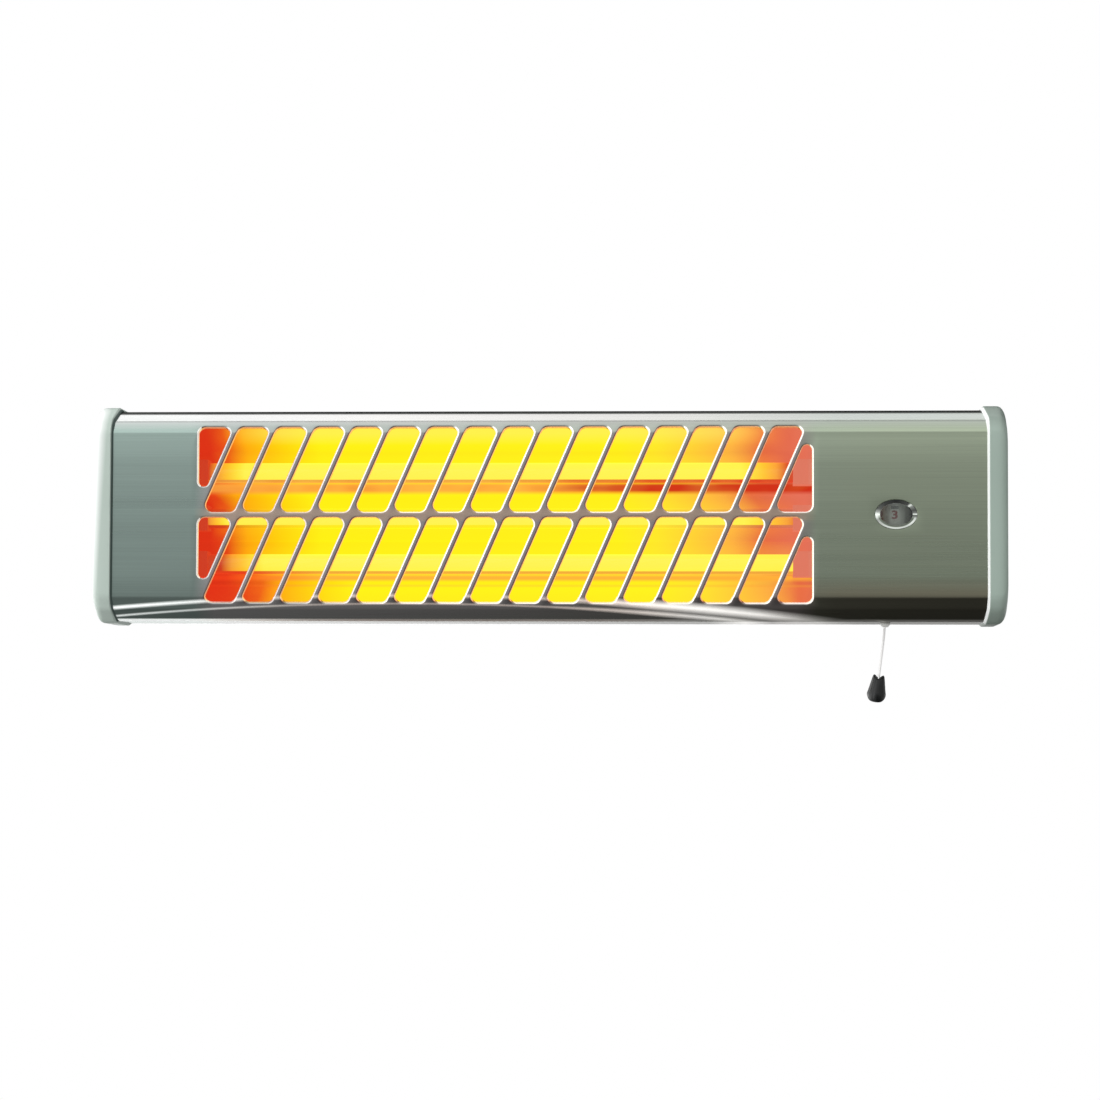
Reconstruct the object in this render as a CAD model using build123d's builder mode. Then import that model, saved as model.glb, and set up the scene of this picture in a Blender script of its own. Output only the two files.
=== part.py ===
from build123d import *
from math import ceil, cos, degrees, hypot, pi, radians, sin, sqrt, tan
import os

# A wall-hung quartz tube heater. Three glowing tubes lie behind a slotted, bent steel front, two wall
# brackets let the whole heater tip forward, and a pull-cord switch sits at its right end.
# Millimetres. X runs along the heater, the front looks towards -Y and Z is up. The wall is the plane
# y = 0, and the origin is the centre of the four wall screws.

# Casing
overall_length = 540.0
sheet_height = 125.0
sheet_thickness = 0.6
front_y = -104.0
cover_rear_y = -38.0
cover_thickness = 0.8
front_fold_z = 48.8
middle_fold = (-100.8, 55.6)
top_fold_y = -91.2
flange_width = 10.0

# End caps
cap_length = 12.0
cap_proud = 2.4
cap_rear_proud = 1.8
cap_bevel = 3.5
cap_wall = 2.4
sheet_seat = 5.0

# Grille of leaning bars in two rows
bar_count = 16
bar_pitch = 22.55
bar_width = 3.5
bar_lean = 23.55
first_bar_x = -195.4
grille_left_x = -206.8
grille_right_x = 155.7
row_height = 50.6
row_gap = 3.4
slot_corner_radius = 4.0
slot_tip_radius = 3.0
lip_depth = 1.5

# Tubes and reflector
tube_pitch = 27.5
tube_y = -66.0
tube_radius = 6.0
tube_wall = 1.0
tube_middle_x = -30.5
glow_half_length = 175.5
coil_radius = 3.1
lead_radius = 0.9
trough_centre_y = -70.0
trough_radius = 15.5
reflector_thickness = 0.5
wing_tip = (-89.0, 53.5)

# Wall brackets and tilting hinge
bracket_spacing_x = 300.0
bracket_hole_spacing_z = 50.0
bracket_hole_margin = 15.0
wall_hole_radius = 2.5
bracket_thickness = 2.5
bracket_half_height = 35.0
ear_thickness = 2.0
ear_inner_x = 164.0
pivot_y = -22.0
pivot_radius = 3.0
pivot_clearance = 0.06
stud_offset = 15.0
stud_radius = 2.0
stud_clearance = 0.05
tilt_range = 30.0
hinge_gap = 0.3

# Switch, pull cord and window
window_x = 204.8
window_length = 25.0
window_height = 17.5
drum_radius = 10.0
drum_y = -90.4
drum_half_height = 7.0
detent_teeth = 8
spindle_radius = 2.0
pull_x = 199.6
pull_y = -70.0
plunger_radius = 1.6
cord_radius = 0.7
knob_length = 16.5

# Wires and small fasteners
wire_radius = 1.2
wire_bend = 3.0
screw_radius = 1.5
screw_head_radius = 3.0
screw_head_height = 1.8
screw_reach = 5.0

os.makedirs("parts", exist_ok=True)

sheet_half_length = overall_length / 2 - cap_length + sheet_seat
cap_inner_x = overall_length / 2 - cap_length
cover_front_y = cover_rear_y - cover_thickness
flange_front_y = cover_front_y - sheet_thickness
row_middle = (row_gap + row_height) / 2
tube_heights = (tube_pitch, 0.0, -tube_pitch)
sides = ((-1, "left"), (1, "right"))
levels = ("top", "middle", "bottom")


def save(piece, name):
    """Labels a finished piece and writes it to its own file."""
    piece.part.label = name
    export_step(piece.part, "parts/" + name + ".step")


def slab(side, start, end):
    """The plane and depth that extrude from x = side * start to x = side * end."""
    low = min(side * start, side * end)
    return Plane.YZ.offset(low), abs(end - start)


def facing(y):
    """The plane at depth y that looks to the front, so an extrusion from it runs towards -Y."""
    return Plane.XZ.offset(-y)


def small_round(radius, mode=Mode.ADD):
    """A small round section with twelve flats. As a hole it clears a shaft of this radius."""
    RegularPolygon(radius, 12, major_radius=mode == Mode.ADD, mode=mode)


# Casing outline


def casing_outline(growth, rear_y, mode=Mode.ADD):
    """The closed side outline, grown outwards by growth, as a face in the current YZ sketch. Three
    folds at the top and three at the bottom join the flat front to the flat top and bottom."""
    half = sheet_height / 2
    line = [(front_y, 0), (front_y, front_fold_z), middle_fold, (top_fold_y, half), (cover_rear_y, half)]
    upper = []
    for before, here, after in zip(line, line[1:], line[2:]):
        back = (Vector(*here) - Vector(*before)).normalized()
        ahead = (Vector(*after) - Vector(*here)).normalized()
        outwards = (back + ahead).rotate(Axis.Z, 90) / (1 + back.dot(ahead))
        upper.append(Vector(*here) + outwards * growth)
    upper.append(Vector(rear_y, half + growth))
    lower = [Vector(point.X, -point.Y) for point in reversed(upper)]
    with BuildLine() as outline:
        Polyline(*upper, *lower, close=True)
    make_face(outline.edges(), mode=mode)


# Front panel: bent sheet with two rows of slanted openings, whose edges are pressed inwards

lean = tan(radians(bar_lean))
lean_step = hypot(1, lean)


def opening_corners(index, growth):
    """Corners of the opening left of bar number index, about the middle of its row, and their radii.
    The openings at both ends of a row stop at a vertical edge, which leaves them a rounded tip."""
    half = row_height / 2 + growth
    bar_half = (bar_width / 2 - growth) * lean_step
    left = first_bar_x + (index - 1) * bar_pitch + bar_half
    right = first_bar_x + index * bar_pitch - bar_half
    corner_radius_here = slot_corner_radius + growth
    end_radii = [corner_radius_here, corner_radius_here, slot_tip_radius + growth]
    if index == 0:
        edge = grille_left_x - growth
        return [(edge, half), (right + lean * half, half), (edge, (edge - right) / lean)], end_radii
    if index == bar_count:
        edge = grille_right_x + growth
        return [(edge, -half), (left - lean * half, -half), (edge, (edge - left) / lean)], end_radii
    shift = lean * half
    corners = [(left - shift, -half), (right - shift, -half), (right + shift, half), (left + shift, half)]
    return corners, [corner_radius_here] * 4


def rounded_corners(corners, radii):
    """A closed outline with points on the arc of each corner, a step for every 60 degrees of turn."""
    points = []
    for index, (corner, radius) in enumerate(zip(corners, radii)):
        here = Vector(*corner)
        back = (Vector(*corners[index - 1]) - here).normalized()
        ahead = (Vector(*corners[(index + 1) % len(corners)]) - here).normalized()
        opening = radians(back.get_angle(ahead))
        centre = here + (back + ahead).normalized() * radius / sin(opening / 2)
        spoke = here + back * radius / tan(opening / 2) - centre
        turn = 180 - degrees(opening)
        direction = 1 if back.cross(ahead).Z < 0 else -1
        steps = ceil(turn / 60)
        for step in range(steps + 1):
            points.append(centre + spoke.rotate(Axis.Z, direction * turn * step / steps))
    return points


def grille_openings(growth):
    """Every opening of the grille, grown by growth, as faces in the current XZ sketch."""
    for middle in (row_middle, -row_middle):
        for index in range(bar_count + 1):
            corners, radii = opening_corners(index, growth)
            raised = [(x, z + middle) for x, z in corners]
            with BuildLine() as outline:
                Polyline(*rounded_corners(raised, radii), close=True)
            make_face(outline.edges())


grille_cut_y = -90.0
grille_cut_depth = 20.0

with BuildPart() as slot_lips:
    with BuildSketch(facing(grille_cut_y)):
        grille_openings(sheet_thickness)
    extrude(amount=grille_cut_depth)
    with BuildSketch(Plane.YZ.offset(-sheet_half_length)):
        casing_outline(-sheet_thickness / 2, cover_front_y)
        casing_outline(-sheet_thickness - lip_depth, flange_front_y, mode=Mode.SUBTRACT)
    extrude(amount=2 * sheet_half_length, mode=Mode.INTERSECT)

bushing_neck_radius = 2.4
flange_screw_z = sheet_height / 2 - flange_width + 3.0
flange_screw_xs = (-240.0, 0.0, 240.0)
flange_screws = [(x, z) for x in flange_screw_xs for z in (-flange_screw_z, flange_screw_z)]
rear_opening = sheet_height - 2 * flange_width

with BuildPart() as front_panel:
    with BuildSketch(Plane.YZ.offset(-sheet_half_length)):
        casing_outline(0, cover_front_y)
        casing_outline(-sheet_thickness, flange_front_y, mode=Mode.SUBTRACT)
        with Locations((cover_front_y, 0)):
            Rectangle(4 * sheet_thickness, rear_opening, mode=Mode.SUBTRACT)
    extrude(amount=2 * sheet_half_length)
    add(slot_lips.part)
    with BuildSketch(facing(grille_cut_y)):
        grille_openings(0)
        with Locations((window_x, 0)):
            Ellipse(window_length / 2, window_height / 2)
    extrude(amount=grille_cut_depth, mode=Mode.SUBTRACT)
    with BuildSketch(facing(cover_front_y)):
        with Locations(*flange_screws):
            RegularPolygon(screw_radius, 6)
    extrude(amount=sheet_thickness, mode=Mode.SUBTRACT)
    with BuildSketch(Plane.XY.offset(-sheet_height / 2)):
        with Locations((pull_x, pull_y)):
            RegularPolygon(bushing_neck_radius, 12)
    extrude(amount=sheet_thickness, mode=Mode.SUBTRACT)
save(front_panel, "front_panel")

# End caps: moulded cups that take the ends of the sheet, with two screw bosses each

cap_screw_y = -48.0
cap_screw_z = 22.0
cap_screws = [(cap_screw_y, -cap_screw_z), (cap_screw_y, cap_screw_z)]
cap_boss_radius = 4.5
cap_head_radius = 3.2
cap_head_depth = 2.0
tab_outer_x = sheet_half_length - 0.5
cap_rear_y = cover_rear_y + cap_rear_proud

for side, side_name in sides:
    with BuildPart() as end_cap:
        plane, depth = slab(side, cap_inner_x, overall_length / 2)
        with BuildSketch(plane):
            casing_outline(cap_proud, cap_rear_y)
        extrude(amount=depth)
        rim = end_cap.faces().sort_by(Axis.X)[-1 if side > 0 else 0].edges()
        chamfer(rim, cap_bevel)
        plane, depth = slab(side, cap_inner_x, sheet_half_length)
        with BuildSketch(plane):
            casing_outline(0, cover_rear_y)
        extrude(amount=depth, mode=Mode.SUBTRACT)
        plane, depth = slab(side, sheet_half_length, overall_length / 2 - cap_wall)
        with BuildSketch(plane):
            casing_outline(-cap_wall, cover_rear_y - cap_wall)
        extrude(amount=depth, mode=Mode.SUBTRACT)
        plane, depth = slab(side, tab_outer_x, overall_length / 2 - cap_wall)
        with BuildSketch(plane):
            with Locations(*cap_screws):
                RegularPolygon(cap_boss_radius, 6)
        extrude(amount=depth)
        plane, depth = slab(side, tab_outer_x, overall_length / 2)
        with BuildSketch(plane):
            with Locations(*cap_screws):
                RegularPolygon(screw_radius, 6)
        extrude(amount=depth, mode=Mode.SUBTRACT)
        plane, depth = slab(side, overall_length / 2 - cap_head_depth, overall_length / 2)
        with BuildSketch(plane):
            with Locations(*cap_screws):
                RegularPolygon(cap_head_radius + 0.2, 6)
        extrude(amount=depth, mode=Mode.SUBTRACT)
    save(end_cap, "end_cap_" + side_name)

with BuildPart() as end_cap_screws:
    for side, side_name in sides:
        plane, depth = slab(side, tab_outer_x - screw_reach + 2.0, overall_length / 2 - 0.4)
        with BuildSketch(plane):
            with Locations(*cap_screws):
                RegularPolygon(screw_radius, 6)
        extrude(amount=depth)
        plane, depth = slab(side, overall_length / 2 - cap_head_depth, overall_length / 2 - 0.4)
        with BuildSketch(plane):
            with Locations(*cap_screws):
                RegularPolygon(cap_head_radius, 6)
        extrude(amount=depth)
save(end_cap_screws, "end_cap_screws")

# Rear cover with vents, end tabs for the caps, and the screws that hold it and the inner brackets

tube_plate_u = glow_half_length + 13.0
tube_plate_thickness = 0.8
tube_foot_length = 10.0
tube_foot_screw_z = 30.0
tube_foot_middle_u = tube_plate_u - tube_foot_length / 2
shield_x = 176.0
shield_thickness = 0.8
shield_foot_length = 9.0
shield_foot_z = 29.0
switch_plate_x = 222.0
switch_plate_thickness = 0.8
switch_foot_length = 10.0
switch_foot_heights = (-29.0, -9.0)
gland_x = 243.0
gland_z = 34.0
gland_neck_radius = 6.0
earth_x = 244.0
earth_z = 10.0
earth_radius = 2.0
cover_half_length = tab_outer_x
cover_half_height = 58.0
tab_depth = 14.0
tab_half_height = 30.0
vent_columns = 10
vent_pitch = 22.0
vent_length = 24.0
vent_width = 3.0
vent_row_spacing = 56.0

tube_foot_xs = (tube_middle_x - tube_foot_middle_u, tube_middle_x + tube_foot_middle_u)
tube_foot_screws = [(x, z) for x in tube_foot_xs for z in (-tube_foot_screw_z, tube_foot_screw_z)]
shield_screw_x = shield_x + shield_thickness + shield_foot_length / 2
shield_screws = [(shield_screw_x, -shield_foot_z), (shield_screw_x, shield_foot_z)]
switch_screw_x = switch_plate_x + switch_plate_thickness + switch_foot_length / 2
switch_foot_screws = [(switch_screw_x, z) for z in switch_foot_heights]
rear_screws = flange_screws + tube_foot_screws + shield_screws + switch_foot_screws

lug_x = ear_inner_x + ear_thickness + hinge_gap
lug_thickness = 2.0
lug_base_length = 20.0
lug_base_thickness = 1.5
rivet_radius = 1.6
rivet_x = lug_x + lug_base_length - 7.0
rivet_z = 9.0
lug_rivet_points = [(side * rivet_x, z) for side, side_name in sides for z in (-rivet_z, rivet_z)]

with BuildPart() as rear_cover:
    with BuildSketch(facing(cover_rear_y)):
        Rectangle(2 * cover_half_length, 2 * cover_half_height)
        with GridLocations(vent_pitch, vent_row_spacing, vent_columns, 2):
            Rectangle(vent_width, vent_length, mode=Mode.SUBTRACT)
        with Locations(*rear_screws):
            RegularPolygon(screw_radius, 6, mode=Mode.SUBTRACT)
        with Locations(*lug_rivet_points):
            RegularPolygon(rivet_radius, 6, mode=Mode.SUBTRACT)
        with Locations((gland_x, gland_z)):
            RegularPolygon(gland_neck_radius, 12, mode=Mode.SUBTRACT)
        with Locations((earth_x, earth_z)):
            RegularPolygon(earth_radius, 6, mode=Mode.SUBTRACT)
    extrude(amount=cover_thickness)
    for side, side_name in sides:
        plane, depth = slab(side, tab_outer_x - cover_thickness, tab_outer_x)
        with BuildSketch(plane):
            with Locations((cover_rear_y - tab_depth / 2, 0)):
                Rectangle(tab_depth, 2 * tab_half_height)
            with Locations(*cap_screws):
                RegularPolygon(screw_radius, 6, mode=Mode.SUBTRACT)
        extrude(amount=depth)
save(rear_cover, "rear_cover")

with BuildPart() as rear_cover_screws:
    with BuildSketch(facing(cover_rear_y)):
        with Locations(*rear_screws):
            RegularPolygon(screw_radius, 6)
    extrude(amount=screw_reach)
    with BuildSketch(facing(cover_rear_y + screw_head_height)):
        with Locations(*rear_screws):
            RegularPolygon(screw_head_radius, 6)
    extrude(amount=screw_head_height)
save(rear_cover_screws, "rear_cover_screws")

# Wall brackets: an angle with two wall screw holes, and an ear with the pivot hole and the tilt slot

bracket_inner_x = bracket_spacing_x / 2 - bracket_hole_margin
bracket_corner_radius = 5.0
bracket_hole_heights = (-bracket_hole_spacing_z / 2, bracket_hole_spacing_z / 2)
ear_outline = [(0, -24), (-18, -11), (-30, -7), (-35, 4), (-35, 17), (-31, 21), (-17, 22), (0, 28)]
slot_clearance = 0.15

slot_line = CenterArc((pivot_y, 0), stud_offset, 90, tilt_range)

for side, side_name in sides:
    with BuildPart() as wall_bracket:
        middle_x = side * (bracket_inner_x + ear_inner_x + ear_thickness) / 2
        with BuildSketch(facing(0)):
            with Locations((middle_x, 0)):
                Rectangle(ear_inner_x + ear_thickness - bracket_inner_x, 2 * bracket_half_height)
        extrude(amount=bracket_thickness)
        inner_edges = wall_bracket.edges().filter_by(Axis.Y).group_by(Axis.X)[0 if side > 0 else -1]
        fillet(inner_edges, bracket_corner_radius)
        plane, depth = slab(side, ear_inner_x, ear_inner_x + ear_thickness)
        with BuildSketch(plane):
            with BuildLine():
                Polyline(*ear_outline, close=True)
            make_face()
            with Locations((pivot_y, 0)):
                Circle(pivot_radius + pivot_clearance, mode=Mode.SUBTRACT)
            SlotArc(slot_line, 2 * (stud_radius + slot_clearance), mode=Mode.SUBTRACT)
        extrude(amount=depth)
        with BuildSketch(facing(0)):
            with Locations(*[(side * bracket_spacing_x / 2, z) for z in bracket_hole_heights]):
                Circle(wall_hole_radius)
        extrude(amount=bracket_thickness, mode=Mode.SUBTRACT)
    save(wall_bracket, "wall_bracket_" + side_name)

# Hinge lugs riveted to the rear cover, with the pivot pins, clamping studs, washers and wing nuts

lug_outline = [(-38, -16), (-33, -15), (-20, -8), (-16, -6), (-14.5, -3)]
lug_outline += [(-14.5, 17), (-18, 21.5), (-26, 21.5), (-38, 16)]
lug_half_height = 16.0
pin_head_radius = 5.4
pin_tail_radius = 4.8
pin_tail_height = 1.1
stud_head_radius = 3.8
washer_thickness = 1.2
washer_radius = 5.5
washer_gap = 0.1
nut_length = 8.0
nut_start_x = ear_inner_x - washer_gap - washer_thickness - 0.1
nut_boss_radius = 4.2
nut_boss_length = 5.0
nut_wing_thickness = 1.8
head_height = 1.6
wing_shape = [(0.8, 3.0), (1.4, 6.0), (3.2, 9.6), (5.2, 11.0)]
wing_shape += [(7.6, 10.8), (8.0, 9.6), (6.4, 6.6), (5.0, 3.0)]

for side, side_name in sides:
    with BuildPart() as hinge_lug:
        plane, depth = slab(side, lug_x, lug_x + lug_thickness)
        with BuildSketch(plane):
            with BuildLine():
                Polyline(*lug_outline, close=True)
            make_face()
            with Locations((pivot_y, 0)):
                small_round(pivot_radius, mode=Mode.SUBTRACT)
            with Locations((pivot_y, stud_offset)):
                small_round(stud_radius, mode=Mode.SUBTRACT)
        extrude(amount=depth)
        with BuildSketch(facing(cover_rear_y + lug_base_thickness)):
            with Locations((side * (lug_x + lug_base_length / 2), 0)):
                Rectangle(lug_base_length, 2 * lug_half_height)
            with Locations((side * rivet_x, -rivet_z), (side * rivet_x, rivet_z)):
                RegularPolygon(rivet_radius, 6, mode=Mode.SUBTRACT)
        extrude(amount=lug_base_thickness)
    save(hinge_lug, "hinge_lug_" + side_name)

    with BuildPart() as pivot_pin:
        lug_outer_x = lug_x + lug_thickness
        tail_x = ear_inner_x - 0.2
        plane, depth = slab(side, tail_x, lug_outer_x)
        with BuildSketch(plane):
            with Locations((pivot_y, 0)):
                Circle(pivot_radius)
        extrude(amount=depth)
        pin_ends = (
            (lug_outer_x, lug_outer_x + head_height, pin_head_radius),
            (tail_x - pin_tail_height, tail_x, pin_tail_radius),
        )
        for start, end, radius in pin_ends:
            plane, depth = slab(side, start, end)
            with BuildSketch(plane):
                with Locations((pivot_y, 0)):
                    RegularPolygon(radius, 6)
            extrude(amount=depth)
    save(pivot_pin, "pivot_pin_" + side_name)

    with BuildPart() as clamp_stud:
        plane, depth = slab(side, nut_start_x - nut_length, lug_outer_x)
        with BuildSketch(plane):
            with Locations((pivot_y, stud_offset)):
                Circle(stud_radius)
        extrude(amount=depth)
        plane, depth = slab(side, lug_outer_x, lug_outer_x + head_height)
        with BuildSketch(plane):
            with Locations((pivot_y, stud_offset)):
                RegularPolygon(stud_head_radius, 6)
        extrude(amount=depth)
    save(clamp_stud, "clamp_stud_" + side_name)

    with BuildPart() as wing_nut:
        plane, depth = slab(side, nut_start_x - nut_boss_length, nut_start_x)
        with BuildSketch(plane):
            with Locations((pivot_y, stud_offset)):
                small_round(nut_boss_radius)
        extrude(amount=depth)
        with BuildSketch(facing(pivot_y + nut_wing_thickness / 2)):
            for up in (-1, 1):
                with BuildLine():
                    wing = [(side * (nut_start_x - a), stud_offset + up * r) for a, r in wing_shape]
                    Polyline(*wing, close=True)
                make_face()
        extrude(amount=nut_wing_thickness)
        plane, depth = slab(side, nut_start_x - nut_length, nut_start_x)
        with BuildSketch(plane):
            with Locations((pivot_y, stud_offset)):
                Circle(stud_radius + stud_clearance)
        extrude(amount=depth, mode=Mode.SUBTRACT)
    save(wing_nut, "wing_nut_" + side_name)

with BuildPart() as clamp_washers:
    for side, side_name in sides:
        washer_end = ear_inner_x - washer_gap
        plane, depth = slab(side, washer_end - washer_thickness, washer_end)
        with BuildSketch(plane):
            with Locations((pivot_y, stud_offset)):
                small_round(washer_radius)
                small_round(stud_radius + stud_clearance, mode=Mode.SUBTRACT)
        extrude(amount=depth)
save(clamp_washers, "clamp_washers")

rivet_head_radius = 3.0
rivet_head_height = 1.1

with BuildPart() as lug_rivets:
    rivet_rear_y = cover_rear_y + lug_base_thickness
    rivet_spans = (
        (rivet_rear_y + rivet_head_height, rivet_rear_y, rivet_head_radius),
        (rivet_rear_y, cover_front_y, rivet_radius),
        (cover_front_y, cover_front_y - rivet_head_height, rivet_head_radius),
    )
    for start, end, radius in rivet_spans:
        with BuildSketch(facing(start)):
            with Locations(*lug_rivet_points):
                RegularPolygon(radius, 6)
        extrude(amount=start - end)
save(lug_rivets, "lug_rivets")

# Reflector: one polished sheet with a trough behind each tube and a wing above and below

plate_inner_x = (tube_middle_x - tube_plate_u, tube_middle_x + tube_plate_u)


def reflector_edge(growth):
    """Points and arcs of one face of the reflector, from the lower wing tip to the upper one."""
    radius = trough_radius + growth
    ridge_y = trough_centre_y + sqrt(radius**2 - (tube_pitch / 2) ** 2)
    outer_z = 1.5 * tube_pitch
    wing_start_y = trough_centre_y + sqrt(trough_radius**2 - (tube_pitch / 2) ** 2)
    wing_length = hypot(wing_tip[0] - wing_start_y, wing_tip[1] - outer_z)
    shift_y = growth * (wing_tip[1] - outer_z) / wing_length
    shift_z = growth * (wing_start_y - wing_tip[0]) / wing_length
    start = (wing_start_y + shift_y, outer_z + shift_z)
    start_z = min(start[1], outer_z + growth)
    start_y = trough_centre_y + sqrt(radius**2 - (start_z - tube_pitch) ** 2)
    tip = (wing_tip[0] + shift_y, wing_tip[1] + shift_z)
    inner_ridges = [(ridge_y, -tube_pitch / 2), (ridge_y, tube_pitch / 2)]
    ridges = [(start_y, -start_z), *inner_ridges, (start_y, start_z)]
    Line((tip[0], -tip[1]), ridges[0])
    for low, high, middle in zip(ridges, ridges[1:], (-tube_pitch, 0, tube_pitch)):
        ThreePointArc(low, (trough_centre_y + radius, middle), high)
    Line(ridges[-1], tip)
    return tip


with BuildPart() as reflector:
    with BuildSketch(Plane.YZ.offset(plate_inner_x[0])):
        with BuildLine():
            front_tip = reflector_edge(0)
            rear_tip = reflector_edge(reflector_thickness)
            Line(front_tip, rear_tip)
            Line((front_tip[0], -front_tip[1]), (rear_tip[0], -rear_tip[1]))
        make_face()
    extrude(amount=2 * tube_plate_u)
save(reflector, "reflector")

# Tube brackets, ceramic end caps, quartz tubes and heating coils

cap_body_size = 15.2
neck_size = 8.4
tube_clearance = 0.1
neck_end_u = tube_plate_u + 7.0
tube_end_u = glow_half_length + 6.0
lead_end_u = neck_end_u + 5.0
plate_front_y = -92.0
plate_half_height = 42.0
plate_wing_z = 54.6
plate_step_y = -62.6
plate_tip_y = -88.8


def tube_slab(side, start, end):
    """The plane and depth that extrude between two distances from the middle of the tubes."""
    low = min(tube_middle_x + side * start, tube_middle_x + side * end)
    return Plane.YZ.offset(low), abs(end - start)


def tube_axes():
    return Locations(*[(tube_y, z) for z in tube_heights])


for side, side_name in sides:
    with BuildPart() as tube_bracket:
        plane, depth = tube_slab(side, tube_plate_u, tube_plate_u + tube_plate_thickness)
        with BuildSketch(plane):
            with BuildLine():
                upper = [
                    (cover_front_y, plate_half_height),
                    (plate_step_y, plate_half_height),
                    (plate_tip_y, plate_wing_z),
                    (plate_front_y, plate_wing_z),
                ]
                Polyline(*upper, *[(y, -z) for y, z in reversed(upper)], close=True)
            make_face()
            with tube_axes():
                Rectangle(neck_size, neck_size, mode=Mode.SUBTRACT)
        extrude(amount=depth)
        foot_middle_x = tube_middle_x + side * tube_foot_middle_u
        with BuildSketch(facing(cover_front_y)):
            with Locations((foot_middle_x, 0)):
                Rectangle(tube_foot_length, 2 * plate_half_height)
            with Locations((foot_middle_x, -tube_foot_screw_z), (foot_middle_x, tube_foot_screw_z)):
                RegularPolygon(screw_radius, 6, mode=Mode.SUBTRACT)
        extrude(amount=tube_plate_thickness)
    save(tube_bracket, "tube_bracket_" + side_name)

    with BuildPart() as ceramic_caps:
        for start, end, size in (
            (glow_half_length, tube_plate_u, cap_body_size),
            (tube_plate_u, neck_end_u, neck_size),
        ):
            plane, depth = tube_slab(side, start, end)
            with BuildSketch(plane):
                with tube_axes():
                    Rectangle(size, size)
            extrude(amount=depth)
        plane, depth = tube_slab(side, glow_half_length, tube_end_u)
        with BuildSketch(plane):
            with tube_axes():
                RegularPolygon(tube_radius + tube_clearance, 12, major_radius=False)
        extrude(amount=depth, mode=Mode.SUBTRACT)
        plane, depth = tube_slab(side, tube_end_u, neck_end_u)
        with BuildSketch(plane):
            with tube_axes():
                RegularPolygon(lead_radius, 6)
        extrude(amount=depth, mode=Mode.SUBTRACT)
    save(ceramic_caps, "ceramic_caps_" + side_name)

for level, height in zip(levels, tube_heights):
    with BuildPart() as quartz_tube:
        with BuildSketch(Plane.YZ.offset(tube_middle_x - tube_end_u)):
            with Locations((tube_y, height)):
                Circle(tube_radius)
                Circle(tube_radius - tube_wall, mode=Mode.SUBTRACT)
        extrude(amount=2 * tube_end_u)
    save(quartz_tube, "quartz_tube_" + level)

    with BuildPart() as heating_coil:
        with BuildSketch(Plane.YZ.offset(tube_middle_x - tube_end_u)):
            with Locations((tube_y, height)):
                small_round(coil_radius)
        extrude(amount=2 * tube_end_u)
        with BuildSketch(Plane.YZ.offset(tube_middle_x - lead_end_u)):
            with Locations((tube_y, height)):
                RegularPolygon(lead_radius, 6)
        extrude(amount=2 * lead_end_u)
    save(heating_coil, "heating_coil_" + level)

# Left ends share one bus bar, and brass terminals are crimped on all six leads

bar_thickness = 0.8
bus_half_height = 36.0
bus_width = 8.0
terminal_radius = 2.4

with BuildPart() as bus_bar:
    plane, depth = tube_slab(-1, neck_end_u, neck_end_u + bar_thickness)
    with BuildSketch(plane):
        with Locations((tube_y, 0)):
            Rectangle(bus_width, 2 * bus_half_height)
        with tube_axes():
            RegularPolygon(lead_radius, 6, mode=Mode.SUBTRACT)
    extrude(amount=depth)
save(bus_bar, "bus_bar")

with BuildPart() as lead_terminals:
    for side, start in ((-1, neck_end_u + bar_thickness), (1, neck_end_u)):
        plane, depth = tube_slab(side, start, lead_end_u)
        with BuildSketch(plane):
            with tube_axes():
                RegularPolygon(terminal_radius, 6)
                RegularPolygon(lead_radius, 6, mode=Mode.SUBTRACT)
        extrude(amount=depth)
save(lead_terminals, "lead_terminals")

# Thermal cut-out on the right tube bracket, and the heat shield that walls off the switch

cutout_y = -50.0
cutout_z = tube_pitch / 2
cutout_x = plate_inner_x[1] + tube_plate_thickness
cutout_radius = 7.0
cutout_height = 4.0
blade_width = 4.0
blade_thickness = 0.8
blade_length = 5.0
blade_offset = 2.5

with BuildPart() as thermal_cutout:
    with BuildSketch(Plane.YZ.offset(cutout_x)):
        with Locations((cutout_y, cutout_z)):
            small_round(cutout_radius)
    extrude(amount=cutout_height)
    with BuildSketch(Plane.YZ.offset(cutout_x + cutout_height)):
        with Locations((cutout_y, cutout_z - blade_offset), (cutout_y, cutout_z + blade_offset)):
            Rectangle(blade_width, blade_thickness)
    extrude(amount=blade_length)
save(thermal_cutout, "thermal_cutout")

shield_half_height = 42.0
shield_rear_y = -41.5
shield_foot_height = 16.0
grommet_size = 5.0

with BuildPart() as heat_shield:
    with BuildSketch(Plane.YZ.offset(shield_x)):
        with Locations(((plate_front_y + shield_rear_y) / 2, 0)):
            Rectangle(shield_rear_y - plate_front_y, 2 * shield_half_height)
        with Locations(*[((shield_rear_y + cover_front_y) / 2, z) for z in (-shield_foot_z, shield_foot_z)]):
            Rectangle(cover_front_y - shield_rear_y, shield_foot_height)
        with tube_axes():
            Rectangle(grommet_size, grommet_size, mode=Mode.SUBTRACT)
    extrude(amount=shield_thickness)
    with BuildSketch(facing(cover_front_y)):
        with Locations(*shield_screws):
            Rectangle(shield_foot_length, shield_foot_height)
            RegularPolygon(screw_radius, 6, mode=Mode.SUBTRACT)
    extrude(amount=shield_thickness)
save(heat_shield, "heat_shield")

# Switch: a moulded body with the drum bay in front and the plunger chamber behind it

body_left_x = 188.0
body_front_y = -86.0
body_rear_y = -58.0
body_bottom_z = -38.0
body_top_z = 14.0
bay_clearance = 0.8
bay_half_height = 9.0
arm_thickness = 2.7
arm_half_width = 7.8
arm_front_y = -96.5
chamber_half_width = 4.2
chamber_floor_z = -35.0
chamber_top_z = -6.0
sliding_clearance = 0.06
body_middle_x = (body_left_x + switch_plate_x) / 2

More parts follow.
